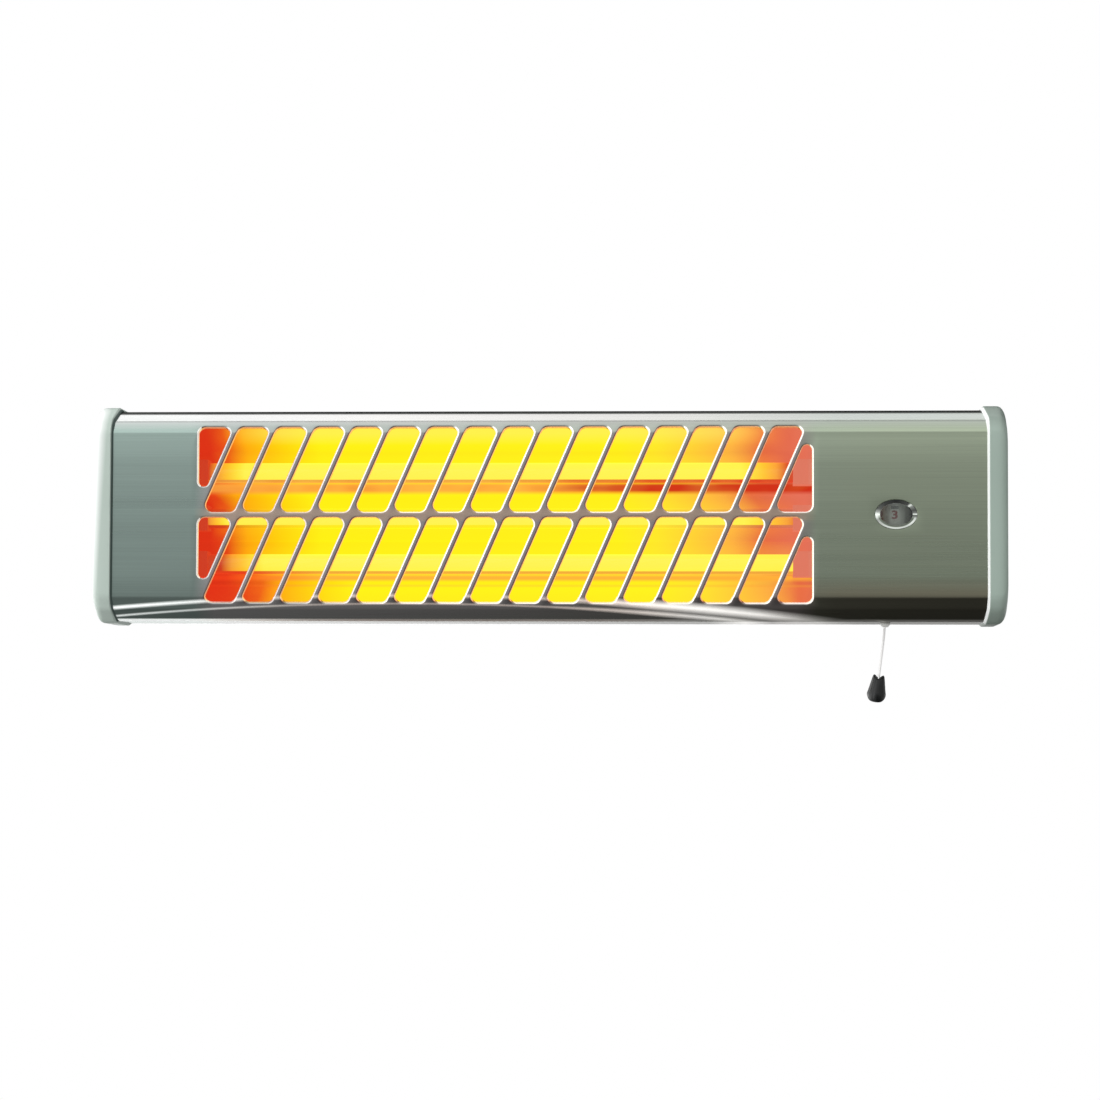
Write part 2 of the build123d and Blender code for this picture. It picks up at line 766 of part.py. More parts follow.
with BuildPart() as switch_body:
    with BuildSketch(Plane.XY.offset(body_bottom_z)):
        with Locations((body_middle_x, (body_front_y + body_rear_y) / 2)):
            Rectangle(switch_plate_x - body_left_x, body_rear_y - body_front_y)
    extrude(amount=body_top_z - body_bottom_z)
    for arm_z in (-bay_half_height - arm_thickness, bay_half_height):
        with BuildSketch(Plane.XY.offset(arm_z)):
            with Locations((window_x, (arm_front_y + drum_y) / 2)):
                Rectangle(2 * arm_half_width, drum_y - arm_front_y)
            with Locations((window_x, (drum_y + body_front_y) / 2)):
                Rectangle(2 * arm_half_width, body_front_y - drum_y)
        extrude(amount=arm_thickness)
    with BuildSketch(Plane.XY.offset(-bay_half_height)):
        with Locations((window_x, drum_y)):
            Circle(drum_radius + bay_clearance)
    extrude(amount=2 * bay_half_height, mode=Mode.SUBTRACT)
    with BuildSketch(Plane.XY.offset(-bay_half_height - arm_thickness)):
        with Locations((window_x, drum_y)):
            Circle(spindle_radius + sliding_clearance)
    extrude(amount=2 * (bay_half_height + arm_thickness), mode=Mode.SUBTRACT)
    with BuildSketch(Plane.XY.offset(chamber_floor_z)):
        with Locations((pull_x, pull_y)):
            Rectangle(2 * chamber_half_width, 2 * chamber_half_width)
    extrude(amount=chamber_top_z - chamber_floor_z, mode=Mode.SUBTRACT)
    with BuildSketch(Plane.XY.offset(body_bottom_z)):
        with Locations((pull_x, pull_y)):
            Circle(plunger_radius + sliding_clearance)
    extrude(amount=chamber_floor_z - body_bottom_z, mode=Mode.SUBTRACT)
save(switch_body, "switch_body")

bracket_low_z = -36.0
bracket_high_z = -2.0
switch_plate_front_y = -84.0
switch_screw_heights = (-30.0, -10.0)
switch_screw_y = -76.0
bracket_middle_z = (bracket_low_z + bracket_high_z) / 2

with BuildPart() as switch_bracket:
    with BuildSketch(Plane.YZ.offset(switch_plate_x)):
        with Locations(((switch_plate_front_y + cover_front_y) / 2, bracket_middle_z)):
            Rectangle(cover_front_y - switch_plate_front_y, bracket_high_z - bracket_low_z)
        with Locations(*[(switch_screw_y, z) for z in switch_screw_heights]):
            RegularPolygon(screw_radius, 6, mode=Mode.SUBTRACT)
    extrude(amount=switch_plate_thickness)
    with BuildSketch(facing(cover_front_y)):
        with Locations((switch_screw_x, bracket_middle_z)):
            Rectangle(switch_foot_length, bracket_high_z - bracket_low_z)
        with Locations(*switch_foot_screws):
            RegularPolygon(screw_radius, 6, mode=Mode.SUBTRACT)
    extrude(amount=switch_plate_thickness)
save(switch_bracket, "switch_bracket")

with BuildPart() as switch_screws:
    with BuildSketch(Plane.YZ.offset(switch_plate_x)):
        with Locations(*[(switch_screw_y, z) for z in switch_screw_heights]):
            RegularPolygon(screw_radius, 6)
    extrude(amount=switch_plate_thickness)
    with BuildSketch(Plane.YZ.offset(switch_plate_x + switch_plate_thickness)):
        with Locations(*[(switch_screw_y, z) for z in switch_screw_heights]):
            RegularPolygon(screw_head_radius, 6)
    extrude(amount=screw_head_height)
save(switch_screws, "switch_screws")

tab_width = 6.3
tab_thickness = 0.8
tab_length = 6.0
tab_end_y = body_rear_y + tab_length
tab_places = {"top": (206.0, 9.0), "middle": (196.0, 0.0), "bottom": (196.0, -27.5), "live": (214.0, 4.0)}

with BuildPart() as switch_terminals:
    with BuildSketch(facing(tab_end_y)):
        with Locations(*tab_places.values()):
            Rectangle(tab_width, tab_thickness)
    extrude(amount=tab_length)
save(switch_terminals, "switch_terminals")

# Indicator drum on its spindle, with a ring of detent teeth under it

star_height = 1.6
star_outer = 8.6
star_inner = 7.0

with BuildPart() as indicator_drum:
    with BuildSketch(Plane.XY.offset(-drum_half_height)):
        with Locations((window_x, drum_y)):
            RegularPolygon(drum_radius, 3 * detent_teeth)
    extrude(amount=2 * drum_half_height)
    with BuildSketch(Plane.XY.offset(-drum_half_height - star_height)):
        with BuildLine():
            star = []
            for step in range(2 * detent_teeth):
                reach = star_outer if step % 2 == 0 else star_inner
                angle = step * pi / detent_teeth
                star.append((window_x + reach * cos(angle), drum_y + reach * sin(angle)))
            Polyline(*star, close=True)
        make_face()
    extrude(amount=star_height)
    with BuildSketch(Plane.XY.offset(-bay_half_height - arm_thickness)):
        with Locations((window_x, drum_y)):
            Circle(spindle_radius)
    extrude(amount=2 * (bay_half_height + arm_thickness))
save(indicator_drum, "indicator_drum")

# Plunger, whose square head keeps it from turning, its return spring, and the cord's bushing

head_top_z = chamber_top_z - 0.2
head_bottom_z = head_top_z - 2.8
head_half_width = chamber_half_width - sliding_clearance
ferrule_radius = 2.4
ferrule_top_z = -43.5
cord_start_z = -49.0
bushing_flange_radius = 3.1
bushing_end_z = -66.4
bushing_bore_radius = 1.6
bushing_collar_radius = 3.4

with BuildPart() as plunger:
    with BuildSketch(Plane.XY.offset(head_bottom_z)):
        with Locations((pull_x, pull_y)):
            Rectangle(2 * head_half_width, 2 * head_half_width)
    extrude(amount=head_top_z - head_bottom_z)
    with BuildSketch(Plane.XY.offset(ferrule_top_z)):
        with Locations((pull_x, pull_y)):
            Circle(plunger_radius)
    extrude(amount=head_bottom_z - ferrule_top_z)
    with BuildSketch(Plane.XY.offset(cord_start_z)):
        with Locations((pull_x, pull_y)):
            small_round(ferrule_radius)
    extrude(amount=ferrule_top_z - cord_start_z)
save(plunger, "plunger")

spring_gap = 0.3

with BuildPart() as return_spring:
    with BuildSketch(Plane.XY.offset(chamber_floor_z)):
        with Locations((pull_x, pull_y)):
            small_round(chamber_half_width - spring_gap)
            small_round(plunger_radius + spring_gap, mode=Mode.SUBTRACT)
    extrude(amount=head_bottom_z - chamber_floor_z)
save(return_spring, "return_spring")

sheet_bottom_z = -sheet_height / 2
bushing_top_z = sheet_bottom_z + sheet_thickness + 1.6

with BuildPart() as cord_bushing:
    bushing_spans = (
        (bushing_end_z, sheet_bottom_z, bushing_flange_radius),
        (sheet_bottom_z, sheet_bottom_z + sheet_thickness, bushing_neck_radius),
        (sheet_bottom_z + sheet_thickness, bushing_top_z, bushing_collar_radius),
    )
    for low, high, radius in bushing_spans:
        with BuildSketch(Plane.XY.offset(low)):
            with Locations((pull_x, pull_y)):
                small_round(radius)
                small_round(bushing_bore_radius, mode=Mode.SUBTRACT)
        extrude(amount=high - low)
save(cord_bushing, "cord_bushing")

# Pull cord: straight out of the plunger and through the bushing, then leaning a little to the left.
# Its section has eight sides.

cord_route = [
    (pull_x, pull_y, cord_start_z),
    (pull_x, pull_y, -63.5),
    (197.9, -70.2, -78.7),
    (195.9, -70.0, -93.2),
]


def arc_radii(route):
    """For each corner, 0.45 of the shorter run divided by the tangent of half the turn."""
    points = [Vector(*point) for point in route]
    radii = []
    for before, corner, after in zip(points, points[1:], points[2:]):
        turn = (corner - before).get_angle(after - corner)
        shorter = min((corner - before).length, (after - corner).length)
        radii.append(0.45 * shorter / tan(radians(turn) / 2))
    return radii


cord_radii = arc_radii(cord_route)
with BuildPart() as pull_cord:
    with BuildLine() as cord_path:
        FilletPolyline(*cord_route, radius=cord_radii)
    with BuildSketch(Plane(origin=cord_route[0], z_dir=(0, 0, -1))) as cord_section:
        RegularPolygon(cord_radius, 8)
    sweep(path=cord_path.wires()[0])
cord_length = sum(edge.length for edge in cord_path.edges())
print("cord radii", [round(radius, 1) for radius in cord_radii])
print("cord length", round(cord_length, 2))
swept_volume = cord_section.sketch.area * cord_length
print("cord volume", round(pull_cord.part.volume, 3), "against", round(swept_volume, 3))
save(pull_cord, "pull_cord")

# Knob: eight flat sides that flare out from the cord and draw in again at the foot

knob_neck_length = 3.0
knob_neck_reach = 2.7
knob_reach = 5.9
knob_flare = (7.5, 2.5)
knob_foot = (4.5, 1.9)
knob_way = (Vector(*cord_route[-1]) - Vector(*cord_route[-2])).normalized()
knob_top = Vector(*cord_route[-1])
knob_plane = Plane(origin=knob_top, x_dir=(1, 0, 0), z_dir=knob_way)

with BuildPart() as pull_knob:
    with BuildSketch(knob_plane.offset(knob_neck_length)):
        RegularPolygon(knob_reach, 8, rotation=22.5)
    extrude(amount=knob_length - knob_neck_length)
    top_face = pull_knob.faces().sort_by(Axis(knob_top, knob_way))[0]
    chamfer(top_face.edges(), knob_flare[1], knob_flare[0], reference=top_face)
    foot_face = pull_knob.faces().sort_by(Axis(knob_top, knob_way))[-1]
    chamfer(foot_face.edges(), knob_foot[1], knob_foot[0], reference=foot_face)
    with BuildSketch(knob_plane):
        RegularPolygon(knob_neck_reach, 8, rotation=22.5)
    extrude(amount=knob_neck_length)
save(pull_knob, "pull_knob")

# Window lens and the spring frame behind it

lens_front_y = front_y - 1.4
lens_flange_y = front_y + sheet_thickness + 0.25
lens_flange_thickness = 1.0
lens_gap = 0.2
lens_flange_width = 2.0
retainer_width = 3.0
retainer_thickness = 1.0

with BuildPart() as window_lens:
    with BuildSketch(facing(lens_flange_y)):
        with Locations((window_x, 0)):
            Ellipse(window_length / 2 - lens_gap, window_height / 2 - lens_gap)
    extrude(amount=lens_flange_y - lens_front_y)
    with BuildSketch(facing(lens_flange_y + lens_flange_thickness)):
        with Locations((window_x, 0)):
            Rectangle(window_length + 2 * lens_flange_width, window_height + 2 * lens_flange_width)
    extrude(amount=lens_flange_thickness)
save(window_lens, "window_lens")

with BuildPart() as lens_retainer:
    with BuildSketch(facing(lens_flange_y + lens_flange_thickness + retainer_thickness)):
        with Locations((window_x, 0)):
            Rectangle(window_length + 2 * retainer_width, window_height + 2 * retainer_width)
            Rectangle(window_length, window_height, mode=Mode.SUBTRACT)
    extrude(amount=retainer_thickness)
save(lens_retainer, "lens_retainer")

# Terminal block, cable gland, its nut and the earth screw, all on the rear cover

block_left_x = 234.0
block_width = 16.0
block_front_y = -54.0
pole_heights = (-10.0, -22.0, -34.0)
block_low_z = -40.0
block_high_z = -4.0
pole_radius = 2.5
pole_clearance = 0.1
pole_depth = 4.0
pole_sunk = 1.0
divider_gap = 2.0
divider_depth = 3.0
driver_slot_width = 0.8
driver_slot_depth = 1.0
block_middle_x = block_left_x + block_width / 2
wire_y = -46.0

with BuildPart() as terminal_block:
    with BuildSketch(facing(cover_front_y)):
        with Locations((block_middle_x, (block_low_z + block_high_z) / 2)):
            Rectangle(block_width, block_high_z - block_low_z)
    extrude(amount=cover_front_y - block_front_y)
    with BuildSketch(facing(block_front_y + divider_depth)):
        with Locations(*[(block_middle_x, (pole_heights[i] + pole_heights[i + 1]) / 2) for i in (0, 1)]):
            Rectangle(block_width, divider_gap)
    extrude(amount=divider_depth, mode=Mode.SUBTRACT)
    with BuildSketch(facing(block_front_y + pole_depth)):
        with Locations(*[(block_middle_x, z) for z in pole_heights]):
            RegularPolygon(pole_radius + pole_clearance, 8, major_radius=False)
    extrude(amount=pole_depth, mode=Mode.SUBTRACT)
save(terminal_block, "terminal_block")

with BuildPart() as terminal_screws:
    with BuildSketch(facing(block_front_y + pole_depth)):
        with Locations(*[(block_middle_x, z) for z in pole_heights]):
            RegularPolygon(pole_radius, 8)
    extrude(amount=pole_depth - pole_sunk)
    with BuildSketch(facing(block_front_y + pole_sunk + driver_slot_depth)):
        with Locations(*[(block_middle_x, z) for z in pole_heights]):
            Rectangle(3 * pole_radius, driver_slot_width)
    extrude(amount=driver_slot_depth, mode=Mode.SUBTRACT)
save(terminal_screws, "terminal_screws")

gland_bore_radius = 3.6
gland_outer_y = -25.0
gland_inner_y = -45.0
gland_hex_radius = 9.5
gland_hex_height = 5.0
gland_dome_radius = 7.6
nut_thickness = 4.0

with BuildPart() as cable_gland:
    with BuildSketch(facing(cover_rear_y)):
        with Locations((gland_x, gland_z)):
            small_round(gland_neck_radius)
    extrude(amount=cover_rear_y - gland_inner_y)
    with BuildSketch(facing(cover_rear_y + gland_hex_height)):
        with Locations((gland_x, gland_z)):
            RegularPolygon(gland_hex_radius, 6)
    extrude(amount=gland_hex_height)
    with BuildSketch(facing(gland_outer_y)):
        with Locations((gland_x, gland_z)):
            small_round(gland_dome_radius)
    extrude(amount=gland_outer_y - cover_rear_y - gland_hex_height)
    with BuildSketch(facing(gland_outer_y)):
        with Locations((gland_x, gland_z)):
            Circle(gland_bore_radius)
    extrude(amount=gland_outer_y - gland_inner_y, mode=Mode.SUBTRACT)
save(cable_gland, "cable_gland")

with BuildPart() as gland_nut:
    with BuildSketch(facing(cover_front_y)):
        with Locations((gland_x, gland_z)):
            RegularPolygon(gland_hex_radius, 6)
            RegularPolygon(gland_neck_radius, 12, mode=Mode.SUBTRACT)
    extrude(amount=nut_thickness)
save(gland_nut, "gland_nut")

earth_nut_size = 7.0
earth_nut_y = -43.5
earth_nut_thickness = 5.0
earth_head_radius = 4.0
earth_end_y = -50.0

with BuildPart() as earth_screw:
    with BuildSketch(facing(cover_rear_y + screw_head_height)):
        with Locations((earth_x, earth_z)):
            RegularPolygon(earth_head_radius, 6)
    extrude(amount=screw_head_height)
    with BuildSketch(facing(cover_rear_y)):
        with Locations((earth_x, earth_z)):
            RegularPolygon(earth_radius, 6)
    extrude(amount=cover_rear_y - earth_end_y)
    with BuildSketch(facing(earth_nut_y)):
        with Locations((earth_x, earth_z)):
            Rectangle(earth_nut_size, earth_nut_size)
    extrude(amount=earth_nut_thickness)
save(earth_screw, "earth_screw")

# Sleeved wires inside the casing, each from terminal to terminal

bus_x = tube_middle_x - neck_end_u - bar_thickness / 2
lead_x = tube_middle_x + lead_end_u
turn_x = 182.0
run_y = -45.0
under_z = -48.0
rise_x = 226.0

wire_routes = {
    "neutral_wire": [
        (bus_x, tube_y, -bus_half_height),
        (bus_x, tube_y, under_z),
        (bus_x, wire_y, under_z),
        (rise_x, wire_y, under_z),
        (rise_x, wire_y, pole_heights[2]),
        (block_left_x, wire_y, pole_heights[2]),
    ],
    "live_wire": [
        (block_left_x, wire_y, pole_heights[0]),
        (rise_x, wire_y, pole_heights[0]),
        (rise_x, wire_y, tab_places["live"][1]),
        (tab_places["live"][0], wire_y, tab_places["live"][1]),
        (tab_places["live"][0], tab_end_y, tab_places["live"][1]),
    ],
    "earth_wire": [
        (block_left_x + block_width, wire_y, pole_heights[1]),
        (256.0, wire_y, pole_heights[1]),
        (256.0, wire_y, earth_z),
        (earth_x + earth_nut_size / 2, wire_y, earth_z),
    ],
    "tube_wire_top": [
        (lead_x, tube_y, tube_pitch),
        (turn_x, tube_y, tube_pitch),
        (turn_x, run_y, tube_pitch),
        (tab_places["top"][0], run_y, tube_pitch),
        (tab_places["top"][0], run_y, tab_places["top"][1]),
        (tab_places["top"][0], tab_end_y, tab_places["top"][1]),
    ],
}
for level, height in (("middle", 0.0), ("bottom", -tube_pitch)):
    wire_routes["tube_wire_" + level] = [
        (lead_x, tube_y, height),
        (turn_x, tube_y, height),
        (turn_x, run_y, height),
        (tab_places[level][0], run_y, height),
        (tab_places[level][0], tab_end_y, height),
    ]

for name, route in wire_routes.items():
    points = [Vector(*point) for point in route]
    path_points = [points[0]]
    for before, corner, after in zip(points, points[1:], points[2:]):
        path_points.append(corner + (before - corner).normalized() * wire_bend)
        path_points.append(corner + (after - corner).normalized() * wire_bend)
    path_points.append(points[-1])
    with BuildPart() as wire:
        with BuildLine() as wire_path:
            Polyline(*path_points)
        with BuildSketch(Plane(origin=points[0], z_dir=points[1] - points[0])):
            RegularPolygon(wire_radius, 6)
        sweep(path=wire_path.wires()[0], transition=Transition.RIGHT)
    save(wire, name)
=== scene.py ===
from functools import partial
from math import atan, hypot, pi, radians, sin

import bmesh
import bpy
import numpy as np
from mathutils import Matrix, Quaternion, Vector


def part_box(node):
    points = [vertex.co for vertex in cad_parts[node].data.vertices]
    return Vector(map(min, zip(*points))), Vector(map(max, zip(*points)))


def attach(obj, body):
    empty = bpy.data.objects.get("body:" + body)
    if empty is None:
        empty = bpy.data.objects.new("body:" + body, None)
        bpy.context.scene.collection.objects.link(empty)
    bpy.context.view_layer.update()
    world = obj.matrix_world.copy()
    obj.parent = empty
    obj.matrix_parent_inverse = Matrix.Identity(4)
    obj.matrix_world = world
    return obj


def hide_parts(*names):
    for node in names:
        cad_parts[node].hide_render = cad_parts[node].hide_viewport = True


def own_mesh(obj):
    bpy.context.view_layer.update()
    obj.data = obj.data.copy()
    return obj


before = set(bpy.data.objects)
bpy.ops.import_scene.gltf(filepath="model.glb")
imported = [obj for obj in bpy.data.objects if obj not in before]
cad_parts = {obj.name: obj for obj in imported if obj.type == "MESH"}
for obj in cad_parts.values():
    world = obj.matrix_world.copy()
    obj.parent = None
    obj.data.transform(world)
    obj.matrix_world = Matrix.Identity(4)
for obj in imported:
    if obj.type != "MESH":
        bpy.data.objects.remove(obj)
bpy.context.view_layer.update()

# A wall-hung quartz tube heater. Sizes are in millimetres until a mesh is made. The front looks towards -Y.
mm = 0.001


def boxOf(node):
    # A node's lowest and highest corners, and its middle, in millimetres.
    low, high = [np.array(corner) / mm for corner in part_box(node)]
    return low, high, (low + high) / 2


def addObject(data):
    thing = bpy.data.objects.new(data.name, data)
    bpy.context.scene.collection.objects.link(thing)
    return thing


def aim(thing, place, target, roll=0.0):
    # Puts a camera or a lamp at its place and turns it to its target.
    thing.location = Vector(place) * mm
    towards = (Vector(target) - Vector(place)).to_track_quat("-Z", "Y")
    thing.rotation_euler = (towards @ Quaternion((0, 0, 1), radians(roll))).to_euler()


# Camera

cameraView = {
    "place": (116.2, -2104.0, -128.0),
    "target": (1.9, -104.0, -20.9),
    "roll": 0.19,
    "lens": 111.6,
    "sensor": 36.0,
    "reach": 20.0,   # how far it sees, in metres
}


def addCamera():
    data = bpy.data.cameras.new("heaterCamera")
    data.lens = cameraView["lens"]
    data.sensor_width = cameraView["sensor"]
    data.clip_end = cameraView["reach"]
    camera = addObject(data)
    aim(camera, cameraView["place"], cameraView["target"], cameraView["roll"])
    bpy.context.scene.camera = camera


addCamera()
print("camera placed")


# Material building. Helpers that take values find the node tree from a linked one.

def newMaterial(name):
    material = bpy.data.materials.new(name)
    material.use_nodes = True
    return material, material.node_tree


def fillInputs(node, inputs):
    # Links or sets inputs. A colour may come without its alpha.
    for key, value in inputs.items():
        socket = node.inputs[key]
        if isinstance(value, bpy.types.NodeSocket):
            node.id_data.links.new(value, socket)
        else:
            socket.default_value = (*value, 1) if socket.type == "RGBA" and len(value) == 3 else value


def finished(material, **inputs):
    # The material, with its shader's inputs filled. An underscore stands for a space.
    fillInputs(material.node_tree.nodes["Principled BSDF"],
               {key.replace("_", " "): value for key, value in inputs.items()})
    return material


def addNode(tree, kind, inputs=None, **settings):
    # Adds a shader node, sets it, and fills or links its inputs.
    node = tree.nodes.new("ShaderNode" + kind)
    for key, value in settings.items():
        setattr(node, key, value)
    fillInputs(node, inputs or {})
    return node


def coordinates(tree, kind="Object"):
    return addNode(tree, "TexCoord").outputs[kind]


def separated(vector):
    return addNode(vector.id_data, "SeparateXYZ", {0: vector}).outputs


def maths(operation, *values, clamped=False):
    tree = next(value.id_data for value in values if isinstance(value, bpy.types.NodeSocket))
    return addNode(tree, "Math", dict(enumerate(values)), operation=operation, use_clamp=clamped).outputs[0]


plus = partial(maths, "ADD")
minus = partial(maths, "SUBTRACT")
times = partial(maths, "MULTIPLY")
larger = partial(maths, "MAXIMUM")
sizeOf = partial(maths, "ABSOLUTE")


def multiplied(first, second):
    # Two colours or vectors multiplied, part by part.
    return addNode(first.id_data, "VectorMath", {0: first, 1: second}, operation="MULTIPLY").outputs[0]


def scaled(colour, factor):
    return addNode(colour.id_data, "VectorMath", {0: colour, "Scale": factor}, operation="SCALE").outputs[0]


def rise(value, start, end, low=0.0, high=1.0):
    # low where value is start, high where it is end, and held beyond them.
    return addNode(value.id_data, "MapRange", {"Value": value, "From Min": start, "From Max": end,
                                               "To Min": low, "To Max": high}).outputs[0]


def lineAt(value, centre, width, amount):
    # amount where value is centre, falling to nothing at width from it.
    return rise(sizeOf(minus(value, centre)), width, 0.0, high=amount)


def ramp(value, *stops):
    # A colour ramp from (place, colour) pairs. A number is a grey.
    node = addNode(value.id_data, "ValToRGB", {"Fac": value})
    elements = node.color_ramp.elements
    while len(elements) > 1:
        elements.remove(elements[-1])
    for index, (place, colour) in enumerate(stops):
        element = elements.new(place) if index else elements[0]
        element.position = place
        element.color = (*(colour if isinstance(colour, tuple) else (colour,) * 3), 1)
    return node.outputs["Color"]


def mix(factor, first, second):
    # A Mix node set to mix colours has them in its seventh and eighth sockets.
    node = addNode(factor.id_data, "Mix", data_type="RGBA")
    fillInputs(node, {0: factor, 6: first, 7: second})
    return node.outputs["Result"]


def noiseOn(place, scale, detail, rough=0.5):
    return addNode(place.id_data, "TexNoise",
                   {"Vector": place, "Scale": scale, "Detail": detail, "Roughness": rough}).outputs[0]


def bumped(height, strength):
    return addNode(height.id_data, "Bump", {"Height": height, "Strength": strength, "Distance": 0.0002}).outputs[0]


def newGroup(name, inputs, outputs):
    # A shader node group with float inputs and their usual values, and the outputs' kinds.
    tree = bpy.data.node_groups.new(name, "ShaderNodeTree")
    for label, value in inputs.items():
        tree.interface.new_socket(label, in_out="INPUT", socket_type="NodeSocketFloat").default_value = value
    for label, kind in outputs.items():
        tree.interface.new_socket(label, in_out="OUTPUT", socket_type="NodeSocket" + kind)
    return tree, tree.nodes.new("NodeGroupInput").outputs, tree.nodes.new("NodeGroupOutput")


def useGroup(tree, group, **values):
    node = addNode(tree, "Group", node_tree=group)
    fillInputs(node, {key.replace("_", " "): value for key, value in values.items()})
    return node.outputs


def makeBrushingGroup():
    # Fine streaks along X: noise stretched along the heater. Gives a value about 0.5 and a normal.
    tree, given, out = newGroup("brushing", {"Along": 6.0, "Across": 900.0, "Depth": 0.2},
                                {"Streaks": "Float", "Normal": "Vector"})
    scale = addNode(tree, "CombineXYZ", {"X": given["Along"], "Y": given["Across"], "Z": given["Across"]})
    streaks = noiseOn(multiplied(coordinates(tree), scale.outputs[0]), 1.0, 3.0, 0.6)
    fillInputs(out, {"Streaks": streaks, "Normal": bumped(streaks, given["Depth"])})
    return tree


def makeSkinGroup():
    # A moulded or cast skin: fine grain in the normal, and broad soft mottling.
    tree, given, out = newGroup("skin", {"Grain": 2500.0, "Depth": 0.15, "Mottle": 25.0},
                                {"Mottling": "Float", "Grain": "Float", "Normal": "Vector"})
    place = coordinates(tree)
    fine = noiseOn(place, given["Grain"], 2.0)
    fillInputs(out, {"Mottling": noiseOn(place, given["Mottle"], 4.0), "Grain": fine,
                     "Normal": bumped(fine, given["Depth"])})
    return tree


def makeGlowGroup():
    # How hot the wire behind a point is: 0 beyond both ends of the glow, 1 in its middle.
    tree, given, out = newGroup("glowSpan", {"Left": -0.2, "Left Width": 0.05, "Right": 0.14, "Right Width": 0.07},
                                {"Heat": "Float"})
    x = separated(coordinates(tree))[0]
    rising = maths("DIVIDE", minus(x, given["Left"]), given["Left Width"], clamped=True)
    falling = maths("DIVIDE", minus(given["Right"], x), given["Right Width"], clamped=True)
    fillInputs(out, {"Heat": maths("MINIMUM", rising, falling)})
    return tree


brushing = makeBrushingGroup()
skin = makeSkinGroup()
glowSpan = makeGlowGroup()


def skinOn(tree, grain, depth, mottle):
    return useGroup(tree, skin, Grain=grain, Depth=depth, Mottle=mottle)


# Mesh building

alongX, alongY, alongZ = (1, 0, 0), (0, 1, 0), (0, 0, 1)


def gridQuads(rows, columns, wrapRows=False, wrapColumns=False):
    # Corner indices of each cell of a grid stored row by row. A wrapped direction joins its last line to its first.
    i, j = np.meshgrid(np.arange(rows if wrapRows else rows - 1),
                       np.arange(columns if wrapColumns else columns - 1), indexing="ij")
    iNext = (i + 1) % rows
    jNext = (j + 1) % columns
    return np.stack([i * columns + j, i * columns + jNext, iNext * columns + jNext, iNext * columns + j],
                    axis=-1).reshape(-1, 4)


def gridSurface(points, wrapRows=False, wrapColumns=False, capEnds=False):
    # A surface from an array of rows of points. Capped ends are closed by one face each.
    rows, columns = points.shape[:2]
    faces = gridQuads(rows, columns, wrapRows, wrapColumns).tolist()
    if capEnds:
        faces.append(list(range(columns))[::-1])
        faces.append(list(range((rows - 1) * columns, rows * columns)))
    return points.reshape(-1, 3), faces


def joinSurfaces(surfaces):
    # Several surfaces as one list of points and one of faces.
    starts = np.cumsum([0] + [len(points) for points, faces in surfaces])
    faces = [[corner + int(start) for corner in face]
             for start, (points, patch) in zip(starts, surfaces) for face in patch]
    return np.concatenate([points for points, patch in surfaces]), faces


def editMesh(mesh, change):
    # Applies a change, a function of a bmesh, to a mesh.
    work = bmesh.new()
    work.from_mesh(mesh)
    change(work)
    work.to_mesh(mesh)
    work.free()


def makeMesh(name, surfaces, sharp=35.0, closed=True, weld=0.001):
    # A mesh in metres from surfaces in millimetres, welded, with smooth faces but for edges over the sharp angle.
    points, faces = joinSurfaces(surfaces)
    mesh = bpy.data.meshes.new(name)
    mesh.from_pydata((points * mm).tolist(), [], faces)

    def join(work):
        bmesh.ops.remove_doubles(work, verts=work.verts, dist=weld * mm)
        if closed:
            bmesh.ops.recalc_face_normals(work, faces=work.faces)

    editMesh(mesh, join)
    smoothFaces(mesh, sharp)
    return mesh


def cutMesh(mesh, axis, places):
    # Cuts the faces along planes square to an axis.
    normal = np.eye(3)[axis]

    def cut(work):
        for place in places:
            everything = [*work.verts, *work.edges, *work.faces]
            bmesh.ops.bisect_plane(work, geom=everything, dist=1e-7, plane_co=normal * place, plane_no=normal)

    editMesh(mesh, cut)


def pointsOf(mesh):
    points = np.zeros(len(mesh.vertices) * 3)
    mesh.vertices.foreach_get("co", points)
    return points.reshape(-1, 3)


def paintFaces(mesh, chosen):
    # Gives the chosen faces the piece's second finish.
    mesh.polygons.foreach_set("material_index", np.asarray(chosen).astype(np.int32))


def smoothFaces(mesh, sharp):
    mesh.shade_smooth()
    mesh.set_sharp_from_angle(angle=radians(sharp))


def addPiece(mesh, materials, body, slotName, *replaced):
    # An object for a finished mesh, with its finish, its body, and the nodes that it stands for.
    piece = addObject(mesh)
    for material in materials:
        mesh.materials.append(material)
    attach(piece, body)
    if replaced:
        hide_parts(*replaced)
    return piece


def stacked(*parts):
    # Points from arrays or numbers for each coordinate, broadcast together.
    return np.stack(np.broadcast_arrays(*parts), axis=-1)


def axesAlong(direction):
    # Three unit vectors, the last along direction.
    along = np.array(direction, float) / np.linalg.norm(direction)
    helper = np.array([0, 0, 1.0]) if abs(along[2]) < 0.9 else np.array([1.0, 0, 0])
    first = np.cross(helper, along)
    first /= np.linalg.norm(first)
    return first, np.cross(along, first), along


def anglesRound(count):
    return np.arange(count) * 2 * pi / count


def turned(profile, base, direction, count=48, wave=None, drop=None):
    # A body of revolution: radius and height along the axis for every profile point, at even angles about it.
    # wave multiplies the radius by a value for each angle, and drop moves a point along the axis by a value for its
    # height and angle.
    first, second, along = axesAlong(direction)
    profile = np.array(profile, float)
    angles = anglesRound(count)
    reach = profile[:, 0, None] * (np.ones(count) if wave is None else wave(angles))
    heights = profile[:, 1, None] + (np.zeros(count) if drop is None else drop(profile[:, 1, None], angles))
    points = (np.array(base) + heights[..., None] * along
              + (reach * np.cos(angles))[..., None] * first + (reach * np.sin(angles))[..., None] * second)
    return gridSurface(points, wrapColumns=True, capEnds=True)


